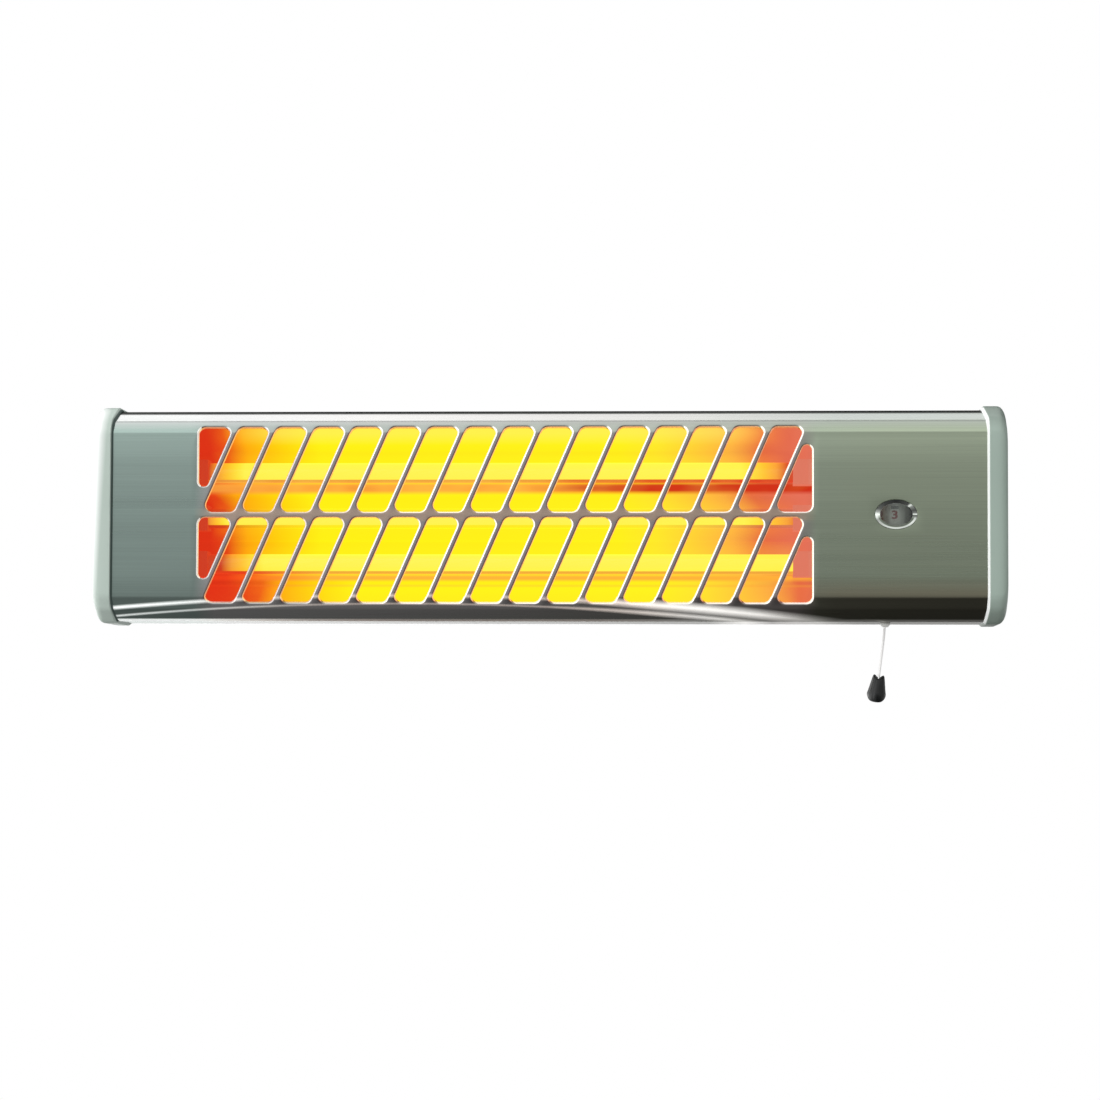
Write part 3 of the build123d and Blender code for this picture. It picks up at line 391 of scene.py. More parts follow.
def roundedProfile(corners, radii, steps=5):
    # A profile through corners, each rounded by an arc of its own radius.
    corners = np.array(corners, float)
    result = [corners[0][None]]
    for before, here, after, radius in zip(corners, corners[1:], corners[2:], radii):
        back = (before - here) / np.linalg.norm(before - here)
        ahead = (after - here) / np.linalg.norm(after - here)
        half = np.arccos(np.clip(back @ ahead, -1, 1)) / 2
        if radius <= 0 or half > pi / 2 - 0.01:
            result.append(here[None])
            continue
        centre = here + (back + ahead) / np.linalg.norm(back + ahead) * radius / sin(half)
        start = here + back * radius / np.tan(half) - centre
        end = here + ahead * radius / np.tan(half) - centre
        turn = pi - 2 * half
        share = np.linspace(0, 1, steps + 1)[:, None]
        result.append(centre + (np.sin((1 - share) * turn) * start + np.sin(share * turn) * end) / sin(turn))
    result.append(corners[-1][None])
    return np.concatenate(result)


# Pull cord: hangs out of the plunger through the bushing, with its knob

cordSizes = {
    "route": [(199.6, -70.0, -49.0), (199.6, -70.0, -63.5), (197.9, -70.2, -78.7), (195.7, -70.0, -94.8)],
    "length": 46.0,
    "diameter": 1.4,
}


def addCord(material):
    curve = bpy.data.curves.new("pullCord", "CURVE")
    curve.dimensions = "3D"
    curve.bevel_depth = cordSizes["diameter"] / 2 * mm
    curve.bevel_resolution = 3
    curve.resolution_u = 12
    curve.use_fill_caps = True
    spline = curve.splines.new("NURBS")
    spline.points.add(len(cordSizes["route"]) - 1)
    for point, place in zip(spline.points, cordSizes["route"]):
        point.co = (*(Vector(place) * mm), 1)
    spline.order_u = 3
    spline.use_endpoint_u = True
    return addPiece(curve, [material], "pull", "cord_braid", "pull_cord")


def makeCordMaterial():
    # White braid: two crossing sets of fine diagonal ribs in the bump, and a faint painted glow in its own colour that
    # brightens it.
    material, tree = newMaterial("braidedCord")
    ribs = []
    for slant in (0.7, -0.7):
        leaning = addNode(tree, "Mapping", {"Vector": coordinates(tree), "Rotation": (0, slant, 0),
                                            "Scale": (1500, 1500, 1500)})
        ribs.append(addNode(tree, "TexWave", {"Vector": leaning.outputs[0], "Scale": 1.0}).outputs["Fac"])
    height = times(*ribs)
    colour = ramp(height, (0.0, (0.80, 0.79, 0.78)), (1.0, (0.93, 0.92, 0.91)))
    return finished(material, Base_Color=colour, Roughness=0.8, Normal=bumped(height, 0.4),
                    Emission_Color=colour, Emission_Strength=0.3)


cord = addCord(makeCordMaterial())


# Finishes

brushedSteelSizes = {
    "grille": (-0.0255, 0.184, 0.172),   # middle of the openings, and how far from it the tint begins and is full
    "bands": (-0.085, 0.245),            # middle of the two bent bands, and how fast they fall away from it
    "bandHeights": (-0.0478, -0.0525),
    "bandWidths": (0.0016, 0.0009),
    "bandAmounts": (1.3, 0.9),
    "front": 0.104,                      # how far the front stands before the wall
    "fold": (0.0488, 0.47),              # height of the front fold, and the sheet's slope beyond it
}


def steelColourAndPaintedLight(x, z, smudges):
    # The sheet's colour with painted light: cooler at the left, a painted reflection that pales the top folds, painted
    # brown then nearly black reflections low down at the right, and painted shade that is darker downwards.
    across = rise(x, -0.2, 0.2)
    upwards = rise(z, -0.0625, 0.0625)
    colour = ramp(across, (0.0, (0.50, 0.645, 0.59)), (1.0, (0.55, 0.64, 0.48)))
    paintedTopReflection = ramp(across, (0.1, (0.79, 0.80, 0.79)), (0.25, (0.79, 0.79, 0.77)), (0.5, (0.71, 0.71, 0.69)),
                     (0.7, (0.67, 0.68, 0.65)), (0.92, (0.53, 0.565, 0.535)))
    colour = mix(ramp(upwards, (0.9, 0.0), (0.93, 0.5), (0.955, 1.0)), colour, paintedTopReflection)
    rightwards = rise(x, 0.10, 0.17)
    # Painted reflections of dark surroundings: browner, then nearly black, low down at the right.
    colour = mix(times(rise(z, -0.036, -0.046, high=0.6), rightwards), colour, (0.58, 0.49, 0.34))
    colour = mix(times(rise(z, -0.0468, -0.0495, high=0.5), rightwards), colour, (0.08, 0.08, 0.075))
    # Painted shade: darker downwards, lightest just below the top fold.
    shade = ramp(upwards, (0.0, 0.62), (0.10, 0.55), (0.14, 0.60), (0.23, 0.72), (0.5, 0.80), (0.75, 0.93),
                 (0.86, 1.15), (0.9, 1.0))
    return multiplied(colour, scaled(shade, smudges)), upwards


def steelEdges(tree, x, y, z, away):
    # Where the openings' rolled edges have a painted highlight, red-brown painted shade (also deeper in), or a painted
    # warm glow. An edge faces the light by 0.7 times the normal's height less its x, and its depth is measured from
    # the folded front.
    height = sizeOf(z)
    foldHeight, slope = brushedSteelSizes["fold"]
    fold = times(larger(minus(height, foldHeight), 0.0), slope)
    depth = minus(plus(y, brushedSteelSizes["front"]), fold)
    nx, ny, nz = separated(coordinates(tree, "Normal"))
    outerSide = rise(away, 0.1798, 0.1802)
    facing = plus(minus(times(nz, 0.7), nx), times(outerSide, 2.0))
    turnedIn = larger(rise(sizeOf(nx), 0.10, 0.22), rise(depth, 0.00008, 0.0002))
    rolled = times(turnedIn, times(rise(height, 0.0552, 0.0545), rise(away, 0.1860, 0.1855)))
    corners = times(rise(nx, -0.2, -0.4), rise(nz, -0.2, -0.4))
    kept = larger(larger(corners, outerSide), rise(x, -0.16, -0.08, low=0.4))
    paintedHighlight = times(times(rolled, kept), rise(facing, 0.1, 0.3))
    paintedEdgeShade = times(rolled, rise(facing, -0.1, -0.35, high=0.85))
    deep = times(rolled, rise(depth, 0.0012, 0.0019, high=0.85))
    paintedEdgeGlow = times(paintedEdgeShade, larger(rise(nx, 0.5, 0.7), rise(nz, -0.3, -0.6, high=0.75)))
    return paintedHighlight, larger(paintedEdgeShade, deep), paintedEdgeGlow


def steelPaintedReflections(x, y, z):
    # Two painted pale reflections bend along the lower folds, with z = height - fall * (x - middle)^2, and another
    # lies under them. Returns how much they cover, their colour, and where the front's top edge has painted shade.
    sizes = brushedSteelSizes
    middle, fall = sizes["bands"]
    off = minus(x, middle)
    bent = plus(z, times(times(off, off), fall))
    widen = rise(x, 0.0, 0.07, low=1.0, high=2.3)
    lines = [lineAt(bent, centre, times(widen, width), amount)
             for centre, width, amount in zip(sizes["bandHeights"], sizes["bandWidths"], sizes["bandAmounts"])]
    along = rise(x, -0.27, 0.27)
    strength = ramp(along, (0.03, 1.0), (0.12, 0.75), (0.22, 0.4), (0.5, 0.4), (0.61, 0.9), (0.68, 1.0),
                    (0.73, 0.85), (0.78, 0.4), (0.85, 0.0))
    front = rise(y, -0.0875, -0.0880)
    under = times(rise(z, -0.0610, -0.0616), front)
    underStrength = ramp(along, (0.12, 1.0), (0.24, 0.35), (0.33, 0.22), (0.7, 0.22), (0.85, 0.12))
    reflectionBands = larger(times(larger(*lines), strength), times(under, underStrength))
    colour = ramp(along, (0.1, (0.90, 0.94, 0.92)), (0.3, (1.0, 0.80, 0.68)), (0.55, (1.0, 0.84, 0.74)),
                  (0.66, (0.94, 0.92, 0.88)))
    return reflectionBands, colour, times(rise(z, 0.0600, 0.0606, high=0.96), front)


def makeBrushedSteel():
    # Stainless steel brushed along the heater, with painted light: a straw and mauve painted reflection of the glow
    # about the openings, painted shade, glow and highlights on their rolled edges, painted pale reflections along the
    # lower folds, and painted shade along the top fold.
    material, tree = newMaterial("brushedSteel")
    streaks = useGroup(tree, brushing, Along=5.0, Across=1500.0, Depth=0.10)
    broad = useGroup(tree, brushing, Along=2.2, Across=110.0, Depth=0.0)["Streaks"]
    x, y, z = separated(coordinates(tree))
    smudges = times(rise(streaks["Streaks"], 0.3, 0.7, 0.93, 1.07), rise(broad, 0.3, 0.7, 0.95, 1.05))
    colour, upwards = steelColourAndPaintedLight(x, z, smudges)
    middle, far, close = brushedSteelSizes["grille"]
    away = sizeOf(minus(x, middle))
    # A painted reflection of the tubes' glow tints the sheet about the openings: straw-orange at the middle bar, mauve
    # elsewhere, weaker low down and gone at the top.
    level = ramp(upwards, (0.0, 0.4), (0.10, 0.6), (0.125, 0.75), (0.875, 0.75), (0.9, 0.28), (0.95, 0.08))
    glowReflectionTint = mix(rise(sizeOf(z), 0.0025, 0.0045), (0.80, 0.55, 0.44), (0.56, 0.46, 0.49))
    colour = mix(times(rise(away, far, close), level), colour, glowReflectionTint)
    paintedHighlight, paintedEdgeShade, paintedEdgeGlow = steelEdges(tree, x, y, z, away)
    # Painted light on the rolled edges: red-brown shade, a warm glow, then highlights.
    colour = mix(paintedEdgeShade, colour, (0.40, 0.17, 0.12))
    colour = mix(paintedEdgeGlow, colour, (0.95, 0.62, 0.42))
    colour = mix(paintedHighlight, colour, (0.97, 0.94, 0.90))
    reflectionBands, reflectionBandColour, paintedTopShade = steelPaintedReflections(x, y, z)
    # Painted shade along the top fold, then the painted pale reflections over it all.
    colour = mix(reflectionBands, mix(paintedTopShade, colour, (0.04, 0.045, 0.04)), reflectionBandColour)
    metal = minus(1.0, larger(times(reflectionBands, 0.75), times(larger(paintedHighlight, paintedEdgeGlow), 0.6)))
    # The painted light also glows a little: the pale reflections, the warm edges and the highlights.
    paintedEmission = mix(paintedEdgeGlow, scaled(reflectionBandColour, times(reflectionBands, 0.42)), (0.42, 0.20, 0.09))
    paintedEmission = mix(paintedHighlight, paintedEmission, (0.24, 0.21, 0.19))
    return finished(material, Base_Color=colour, Metallic=metal, Roughness=rise(broad, 0.3, 0.7, 0.26, 0.32),
                    Emission_Color=paintedEmission, Emission_Strength=1.0, Normal=streaks["Normal"])


def makeMetal(name, light, dark, rough):
    # A plain metal with faint mottling in its colour and polish.
    material, tree = newMaterial(name)
    surface = skinOn(tree, 1800.0, 0.1, 60.0)
    return finished(material, Base_Color=ramp(surface["Mottling"], (0.35, dark), (0.65, light)), Metallic=1.0,
                    Roughness=rise(surface["Mottling"], 0.3, 0.7, rough * 0.8, rough * 1.2),
                    Normal=surface["Normal"])


def makeSpangled(name, light, dark):
    # Zinc-dipped sheet: faint crystals a few millimetres across, each with its own shade and polish.
    material, tree = newMaterial(name)
    surface = skinOn(tree, 1500.0, 0.08, 30.0)
    cells = addNode(tree, "TexVoronoi", {"Vector": coordinates(tree), "Scale": 190.0, "Randomness": 1.0})
    shade = addNode(tree, "SeparateColor", {0: cells.outputs["Color"]}).outputs[0]
    spread = plus(times(shade, 0.7), times(surface["Mottling"], 0.3))
    return finished(material, Base_Color=ramp(spread, (0.0, dark), (1.0, light)), Metallic=1.0,
                    Roughness=rise(shade, 0.0, 1.0, 0.34, 0.42), Normal=surface["Normal"])


def makePlastic(name, light, dark, rough, grain=0.15, coat=0.0):
    # Moulded plastic, rubber, ceramic or paint: fine grain and faint mottling.
    material, tree = newMaterial(name)
    surface = skinOn(tree, 2200.0, grain, 18.0)
    return finished(material, Base_Color=ramp(surface["Mottling"], (0.3, dark), (0.7, light)),
                    Roughness=rise(surface["Grain"], 0.3, 0.7, rough * 0.9, rough * 1.1), Coat_Weight=coat,
                    Normal=surface["Normal"])


glowColours = ((0.0, (0.56, 0.038, 0.011)), (0.25, (0.86, 0.34, 0.030)), (0.5, (0.95, 0.52, 0.022)),
               (0.8, (1.0, 0.74, 0.035)), (1.0, (1.0, 0.85, 0.065)))


def makeGlowing(name, span, rough, shown=None):
    # A tube or wire that glows from red at its ends to yellow in its middle. Outside the shown heights a tube's glass
    # shows the reflector's painted glow instead: a painted reflection of it.
    material, tree = newMaterial(name)
    left, leftWidth, right, rightWidth = [value * mm for value in span]
    heat = useGroup(tree, glowSpan, Left=left, Left_Width=leftWidth, Right=right, Right_Width=rightWidth)["Heat"]
    surface = skinOn(tree, 900.0, 0.05, 14.0)
    glow = ramp(heat, *glowColours)
    if shown:
        z = separated(coordinates(tree))[2]
        low, high = shown
        outside = larger(rise(z, low * mm, (low - 0.4) * mm), rise(z, high * mm, (high + 0.4) * mm))
        glow = mix(outside, glow, paintedGlowColours(tree, 0.0025)[0])
    colour = ramp(surface["Mottling"], (0.3, (0.10, 0.05, 0.02)), (0.7, (0.14, 0.07, 0.03)))
    return finished(material, Base_Color=colour, Roughness=rough, Emission_Color=glow, Emission_Strength=1.0,
                    Normal=surface["Normal"])


def makeCapPlastic():
    # Grey-green moulded plastic with painted light. The right cap has painted shade towards its top and bottom, the
    # lip that grips the sheet has a painted highlight on the right cap and painted shade on the left one, and the left
    # cap's front rim has a painted glare that fades to white outwards.
    material, tree = newMaterial("capPlastic")
    surface = skinOn(tree, 2200.0, 0.12, 18.0)
    x, y, z = separated(coordinates(tree))
    right = rise(x, -0.01, 0.01)
    back = times(larger(plus(y, 0.104), 0.0), rise(z, -0.05, 0.05, 0.14, 0.23))
    reach = minus(plus(sizeOf(x), back), times(right, 0.0004))
    colour = ramp(surface["Mottling"], (0.3, (0.43, 0.51, 0.46)), (0.7, (0.455, 0.535, 0.485)))
    # Painted shade on the right cap towards its top and bottom.
    shade = ramp(rise(z, -0.065, 0.065), (0.0, (0.45, 0.47, 0.45)), (0.05, (0.60, 0.63, 0.60)),
                 (0.12, (0.88, 0.93, 0.90)), (0.88, (0.88, 0.93, 0.90)), (0.955, (0.58, 0.61, 0.59)),
                 (1.0, (0.5, 0.52, 0.5)))
    colour = multiplied(colour, mix(right, (1, 1, 1), shade))
    outward = plus(times(x, -1.0), times(larger(z, -0.05), 0.055))
    paintedGlare = times(rise(outward, 0.2640, 0.2700), rise(y, -0.086, -0.098))
    colour = mix(paintedGlare, colour, (0.97, 0.98, 0.975))
    # Painted shade on the left cap's lip line, a painted highlight on the right one.
    colour = mix(rise(reach, 0.2591, 0.2587), colour, mix(right, (0.06, 0.09, 0.08), (0.88, 0.90, 0.89)))
    return finished(material, Base_Color=colour, Roughness=rise(surface["Grain"], 0.3, 0.7, 0.36, 0.44),
                    Normal=surface["Normal"])


def makeGlowLit(name, light, dark, metallic):
    # What holds the tubes' ends: near them it is darkened and glows a painted deep red that stands for the tubes'
    # light on it, rosier at the right, and has its own colour beyond.
    material, tree = newMaterial(name)
    surface = skinOn(tree, 2200.0, 0.3, 60.0)
    x = separated(coordinates(tree))[0]
    near = rise(sizeOf(plus(x, 0.0305)), 0.200, 0.184)
    glow = mix(rise(x, -0.05, 0.05), (0.56, 0.036, 0.010), (0.62, 0.16, 0.10))
    colour = ramp(surface["Mottling"], (0.3, dark), (0.7, light))
    return finished(material, Base_Color=mix(near, colour, (0.14, 0.04, 0.025)), Metallic=metallic, Roughness=0.55,
                    Emission_Color=scaled(glow, near), Emission_Strength=1.0, Normal=surface["Normal"])


steel = makeBrushedSteel()
capPlastic = makeCapPlastic()
ceramic = makeGlowLit("glowLitCeramic", (0.82, 0.78, 0.70), (0.76, 0.71, 0.63), 0.0)
glowLitZinc = makeGlowLit("glowLitZinc", (0.66, 0.67, 0.68), (0.56, 0.57, 0.59), 1.0)
zincSheet = makeSpangled("zincSheet", (0.70, 0.71, 0.72), (0.60, 0.61, 0.63))
paleCoat = makePlastic("paleCoat", (0.66, 0.67, 0.66), (0.62, 0.63, 0.62), 0.4, grain=0.35)
zincPlate = makeMetal("zincPlate", (0.86, 0.87, 0.88), (0.76, 0.77, 0.79), 0.24)
brass = makeMetal("brass", (0.80, 0.62, 0.30), (0.70, 0.52, 0.24), 0.25)
brownSleeve = makePlastic("brownSleeve", (0.16, 0.07, 0.035), (0.13, 0.055, 0.03), 0.5)
blueSleeve = makePlastic("blueSleeve", (0.03, 0.10, 0.36), (0.025, 0.08, 0.30), 0.5)
greenSleeve = makePlastic("greenSleeve", (0.10, 0.34, 0.08), (0.08, 0.28, 0.06), 0.5)
blackPlastic = makePlastic("blackPlastic", (0.012, 0.014, 0.014), (0.007, 0.008, 0.008), 0.3, coat=0.2)
whitePlastic = makePlastic("whitePlastic", (0.86, 0.86, 0.83), (0.81, 0.81, 0.78), 0.35)
print("finishes made")


# Front panel: a sheet cut flat, its openings' edges rolled inwards, then folded to its profile

panelSizes = {
    "frontFold": 48.8,           # height of the first fold
    "middleFold": (3.2, 55.6),   # depth behind the front, and height, of the second
    "topFold": 12.8,             # depth of the third, which is at full height
    "foldRadii": (3.0, 4.0, 10.0, 3.0),   # of the front, middle, top and rear folds
    "sheet": 0.6,
    "flange": 10.0,
    "barCount": 16,
    "barPitch": 22.55,
    "barWidth": 3.5,
    "barLean": 23.55,
    "firstBar": -195.4,
    "grille": (-206.8, 155.7),
    "rowHeight": 50.6,
    "rowGap": 3.4,
    "cornerRadius": 4.0,
    "tipRadius": 3.0,
    "roll": 1.15,
    "lip": 2.3,
    "window": (204.8, 12.5, 8.75),
    "windowRoll": 0.35,
    "windowReach": 17.0,         # half width of the cells that its rings replace
    "bushing": (199.6, -70.0, 2.45),
    "bushingReach": 5.0,
    "bushingRoll": 0.1,
    "margins": (4.7, 4.8, 1.9),  # sheet kept about the openings: left, right and beyond the rows
    "tipTurn": 0.12,             # half of the turn at a tip's point
}
panelLow, panelHigh = boxOf("front_panel")[:2]


def sheetProfile(corners, radii):
    # Side profile through corners of (depth, height). Its direction is constant on each run and turns evenly over an
    # arc at each fold, and depth and height are the running sums of the direction's sine and cosine.
    radius = np.array(radii)
    runs = np.diff(np.array(corners, float), axis=0)
    directions = np.arctan2(runs[:, 0], runs[:, 1])
    bends = np.diff(directions)
    cuts = np.abs(radius * np.tan(bends / 2))
    straight = np.hypot(runs[:, 0], runs[:, 1]) - np.append(0, cuts) - np.append(cuts, 0)
    pieces = np.zeros(2 * len(straight) - 1)
    pieces[0::2] = straight
    pieces[1::2] = np.abs(radius * bends)
    knots = np.append(0, np.cumsum(pieces))
    lengths = np.linspace(0, knots[-1], 6000)
    angles = np.interp(lengths, knots, np.repeat(directions, 2))
    middles = (angles[1:] + angles[:-1]) / 2
    step = lengths[1]
    depth = corners[0][0] + np.append(0, np.cumsum(np.sin(middles) * step))
    height = corners[0][1] + np.append(0, np.cumsum(np.cos(middles) * step))
    return {"knots": knots, "length": lengths, "angle": angles, "depth": depth, "height": height}


def onProfile(profile, length, inwards):
    # Depth and height of a point at a length along the profile, moved inwards square to it.
    angle = np.interp(length, profile["length"], profile["angle"])
    depth = np.interp(length, profile["length"], profile["depth"]) + inwards * np.cos(angle)
    height = np.interp(length, profile["length"], profile["height"]) - inwards * np.sin(angle)
    return depth, height


def sheetCorners(depth, half):
    return [(0, 0), (0, panelSizes["frontFold"]), panelSizes["middleFold"], (panelSizes["topFold"], half),
            (depth, half)]


panelDepth = panelHigh[1] - panelLow[1]
panelHalf = panelHigh[2]
panelProfile = sheetProfile(
    [*sheetCorners(panelDepth, panelHalf), (panelDepth, panelHalf - panelSizes["flange"])],
    panelSizes["foldRadii"])
rowLow = panelSizes["rowGap"] / 2
rowHigh = float(np.interp(rowLow + panelSizes["rowHeight"], panelProfile["height"], panelProfile["length"]))
rowMiddle = (rowLow + rowHigh) / 2
leftMargin, rightMargin, topMargin = panelSizes["margins"]
tileTop = rowHigh + topMargin
tileEnds = (panelSizes["grille"][0] - leftMargin, panelSizes["grille"][1] + rightMargin)
tileCounts = {"width": 12, "end": 9, "height": 18, "arc": 4}
lean = np.tan(radians(panelSizes["barLean"]))
rollAngles = np.linspace(0, pi / 2, 6)


def rolledEdge(roll, lip):
    # Offsets out of an opening and depths of a rolled edge: a quarter circle, then straight in to the lip's end.
    offsets = np.append(roll * (1 - np.sin(rollAngles)), 0)
    depths = np.append(roll * (1 - np.cos(rollAngles)), lip)
    return offsets, depths


def openingOutline(left, right, counts):
    # Each outline point is a corner's centre moved out by that corner's radius along a normal: round a corner the
    # normal turns, and along an edge the centre moves. left and right are an edge's x at the row's middle and its
    # lean. Where both edges meet before a row's end, the two corners there are one tip, with half of its turn each.
    (leftX, leftLean), (rightX, rightLean) = left, right

    def centre(x, slope, inset, height):
        return x + inset * hypot(1, slope) + slope * (height - rowMiddle)

    corners = []
    leftNormal = pi - atan(leftLean)
    rightNormal = 2 * pi - atan(rightLean)
    for bottom in (True, False):
        radius = panelSizes["cornerRadius"]
        height = rowLow + radius if bottom else rowHigh - radius
        low = centre(leftX, leftLean, radius, height)
        high = centre(rightX, rightLean, -radius, height)
        square = 1.5 * pi if bottom else 2.5 * pi
        split = (square, square)
        if high < low:
            radius = panelSizes["tipRadius"]
            gap = rightX - leftX - radius * (hypot(1, leftLean) + hypot(1, rightLean))
            height = rowMiddle + gap / (leftLean - rightLean)
            low = high = centre(leftX, leftLean, radius, height)
            middle = square - (atan(leftLean) + atan(rightLean)) / 2
            split = (middle - panelSizes["tipTurn"], middle + panelSizes["tipTurn"])
        ends = [(low, height, radius), (high, height, radius)]
        if bottom:
            corners += [(ends[0], leftNormal, split[0]), (ends[1], split[1], rightNormal)]
        else:
            corners += [(ends[1], rightNormal, split[0]), (ends[0], split[1], leftNormal + 2 * pi)]
    arc = tileCounts["arc"]
    middles = np.cumsum([0, *counts])
    places = []
    values = []
    for index, (spot, start, end) in enumerate(corners):
        for shift, angle in ((-arc, start), (0, (start + end) / 2), (arc, end)):
            places.append(middles[index] + shift)
            values.append((*spot, angle))
    places = np.array(places)
    values = np.array(values)
    wrapped = values[:2] + np.array([0, 0, 0, 2 * pi])
    places = np.append(places, middles[-1] + places[:2])
    values = np.concatenate([values, wrapped])
    index = np.arange(middles[-1])
    return [np.interp(index, places, values[:, column]) for column in range(4)]


def openingTile(left, right, bottomXs, topXs, sides):
    # One opening with the sheet around it: rings from the tile's border in to the rolled edge.
    count = tileCounts["height"]
    heights = np.linspace(0, tileTop, count + 1)
    leftXs, rightXs = [x + slope * (heights - rowMiddle) for x, slope in sides]
    border = np.concatenate([stacked(bottomXs[:-1], 0.0), stacked(rightXs[:-1], heights[:-1]),
                             stacked(topXs[:0:-1], tileTop), stacked(leftXs[:0:-1], heights[:0:-1])])
    counts = (len(bottomXs) - 1, count, len(topXs) - 1, count)
    x, height, radius, angle = openingOutline(left, right, counts)
    offsets, depths = rolledEdge(panelSizes["roll"], panelSizes["lip"])
    reach = radius + offsets[:, None]
    rings = stacked(x + reach * np.cos(angle), depths[:, None], height + reach * np.sin(angle))
    return gridSurface(np.concatenate([stacked(border[:, 0], 0.0, border[:, 1])[None], rings]), wrapColumns=True)


def grilleHalf(turn):
    # The openings above the middle line, or below it (turn -1), where they are those above it turned by 180
    # degrees. Returns the surfaces and the x of every point on the tiles' top line.
    sizes = panelSizes
    pitch = sizes["barPitch"]
    bars = np.sort(turn * (sizes["firstBar"] + pitch * np.arange(sizes["barCount"])))
    edges = np.sort(turn * np.array(sizes["grille"]))
    ends = np.sort(turn * np.array(tileEnds))
    barHalf = sizes["barWidth"] / 2 * hypot(1, lean)
    slope = pitch / 2 / rowMiddle
    width, end = tileCounts["width"], tileCounts["end"]
    surfaces = []
    topLine = []
    for index in range(sizes["barCount"] + 1):
        first = index == 0
        last = index == sizes["barCount"]
        left = (edges[0], 0.0) if first else (bars[index - 1] + barHalf, lean)
        right = (edges[1], 0.0) if last else (bars[index] - barHalf, lean)
        sides = [(ends[0], 0.0) if first else (bars[index - 1], slope),
                 (ends[1], 0.0) if last else (bars[index], slope)]
        (bottomLeft, topLeft), (bottomRight, topRight) = [
            [x + slant * (height - rowMiddle) for height in (0, tileTop)] for x, slant in sides]
        if last:
            bottom = np.append(np.linspace(bottomLeft, bottomLeft + pitch, width + 1),
                               np.linspace(bottomLeft + pitch, bottomRight, end + 1)[1:])
        else:
            bottom = np.linspace(bottomLeft, bottomRight, (end if first else width) + 1)
        topCount = width + end if first else end if last else width
        top = np.linspace(topLeft, topRight, topCount + 1)
        surfaces.append(openingTile(left, right, bottom, top, sides))
        topLine.append(top)
    return surfaces, np.concatenate(topLine)


def holedGrid(xs, heights, hole=None):
    # A flat grid of (x, length along the sheet), if asked with a rolled elliptical hole: (x, height, half width, half
    # height, reach, roll). Rings join the cells' border around the hole to it at the same angles.
    grid = stacked(xs, 0.0, heights[:, None])
    points, faces = gridSurface(grid)
    if hole is None:
        return [(points, faces)]
    x, height, halfWidth, halfHeight, reach, roll = hole
    i = [int(np.abs(xs - x - side * reach).argmin()) for side in (-1, 1)]
    j = [int(np.abs(heights - height - side * reach * halfHeight / halfWidth).argmin()) for side in (-1, 1)]
    row, column = np.divmod(np.arange(len(faces)), len(xs) - 1)
    inside = (column >= i[0]) & (column < i[1]) & (row >= j[0]) & (row < j[1])
    kept = [face for face, drop in zip(faces, inside) if not drop]
    across = np.arange(i[0], i[1])
    up = np.arange(j[0], j[1])
    border = np.concatenate([grid[j[0], across], grid[up, i[1]], grid[j[1], across[::-1] + 1],
                             grid[up[::-1] + 1, i[0]]])
    angle = np.arctan2((border[:, 2] - height) / halfHeight, (border[:, 0] - x) / halfWidth)
    normal = np.stack([np.cos(angle) / halfWidth, np.sin(angle) / halfHeight])
    normal /= np.linalg.norm(normal, axis=0)
    offsets, depths = [values[:, None] for values in rolledEdge(roll, panelSizes["sheet"])]
    rings = stacked(x + halfWidth * np.cos(angle) + offsets * normal[0], depths,
                    height + halfHeight * np.sin(angle) + offsets * normal[1])
    return [(points, kept), gridSurface(np.concatenate([border[None], rings]), wrapColumns=True)]


def makeFrontPanel():
    # Both rows of openings, the plain sheet beside them with the window, and the sheet beyond, which is folded back.
    sizes = panelSizes
    sideHeights = np.linspace(-tileTop, tileTop, 2 * tileCounts["height"] + 1)
    windowX = sizes["window"][0]
    windowLeft, windowRight = windowX - sizes["windowReach"], windowX + sizes["windowReach"]
    leftXs = np.linspace(panelLow[0], tileEnds[0], 12)
    rightXs = np.concatenate([np.linspace(tileEnds[1], windowLeft, 10)[:-1],
                              np.linspace(windowLeft, windowRight, 21)[:-1],
                              np.linspace(windowRight, panelHigh[0], 15)])
    flat = holedGrid(leftXs, sideHeights)
    flat += holedGrid(rightXs, sideHeights,
                      (windowX, 0.0, *sizes["window"][1:], sizes["windowReach"], sizes["windowRoll"]))
    knots = panelProfile["knots"]
    bends = np.concatenate([np.linspace(knots[k], knots[k + 1], 5) for k in (3, 5, 7)])
    bushingX, bushingY, bushingRadius = sizes["bushing"]
    beforeRear = panelProfile["length"] < knots[7]
    bushingLength = float(np.interp(bushingY - panelLow[1], panelProfile["depth"][beforeRear],
                                    panelProfile["length"][beforeRear]))
    bushingReach = sizes["bushingReach"]
    rows = np.concatenate([[tileTop], bends, bushingLength + np.linspace(-2, 2, 5) * bushingReach, [knots[-1]]])
    rows = np.unique(np.round(rows, 6))
    for turn in (1, -1):
        tiles, topLine = grilleHalf(turn)
        sideXs = turn * np.concatenate([leftXs, rightXs])
        columns = np.unique(np.round(np.concatenate([sideXs, topLine]), 6))
        hole = None
        if turn < 0:
            hole = (turn * bushingX, bushingLength, bushingRadius, bushingRadius, bushingReach, sizes["bushingRoll"])
        flat += [(points * [turn, 1, turn], faces) for points, faces in tiles + holedGrid(columns, rows, hole)]
    mesh = makeMesh("frontPanel", flat, closed=False)
    foldPanel(mesh)
    return mesh


def foldPanel(mesh):
    # Cuts the flat mesh along its first fold, above and below, and then carries every point onto the profile.
    lengths = np.linspace(*panelProfile["knots"][1:3], 4) * mm
    cutMesh(mesh, 2, [*lengths, *-lengths])
    x, y, z = pointsOf(mesh).T / mm
    depth, height = onProfile(panelProfile, np.abs(z), y)
    mesh.vertices.foreach_set("co", (stacked(x, panelLow[1] + depth, np.sign(z) * height) * mm).ravel())
    smoothFaces(mesh, 50.0)


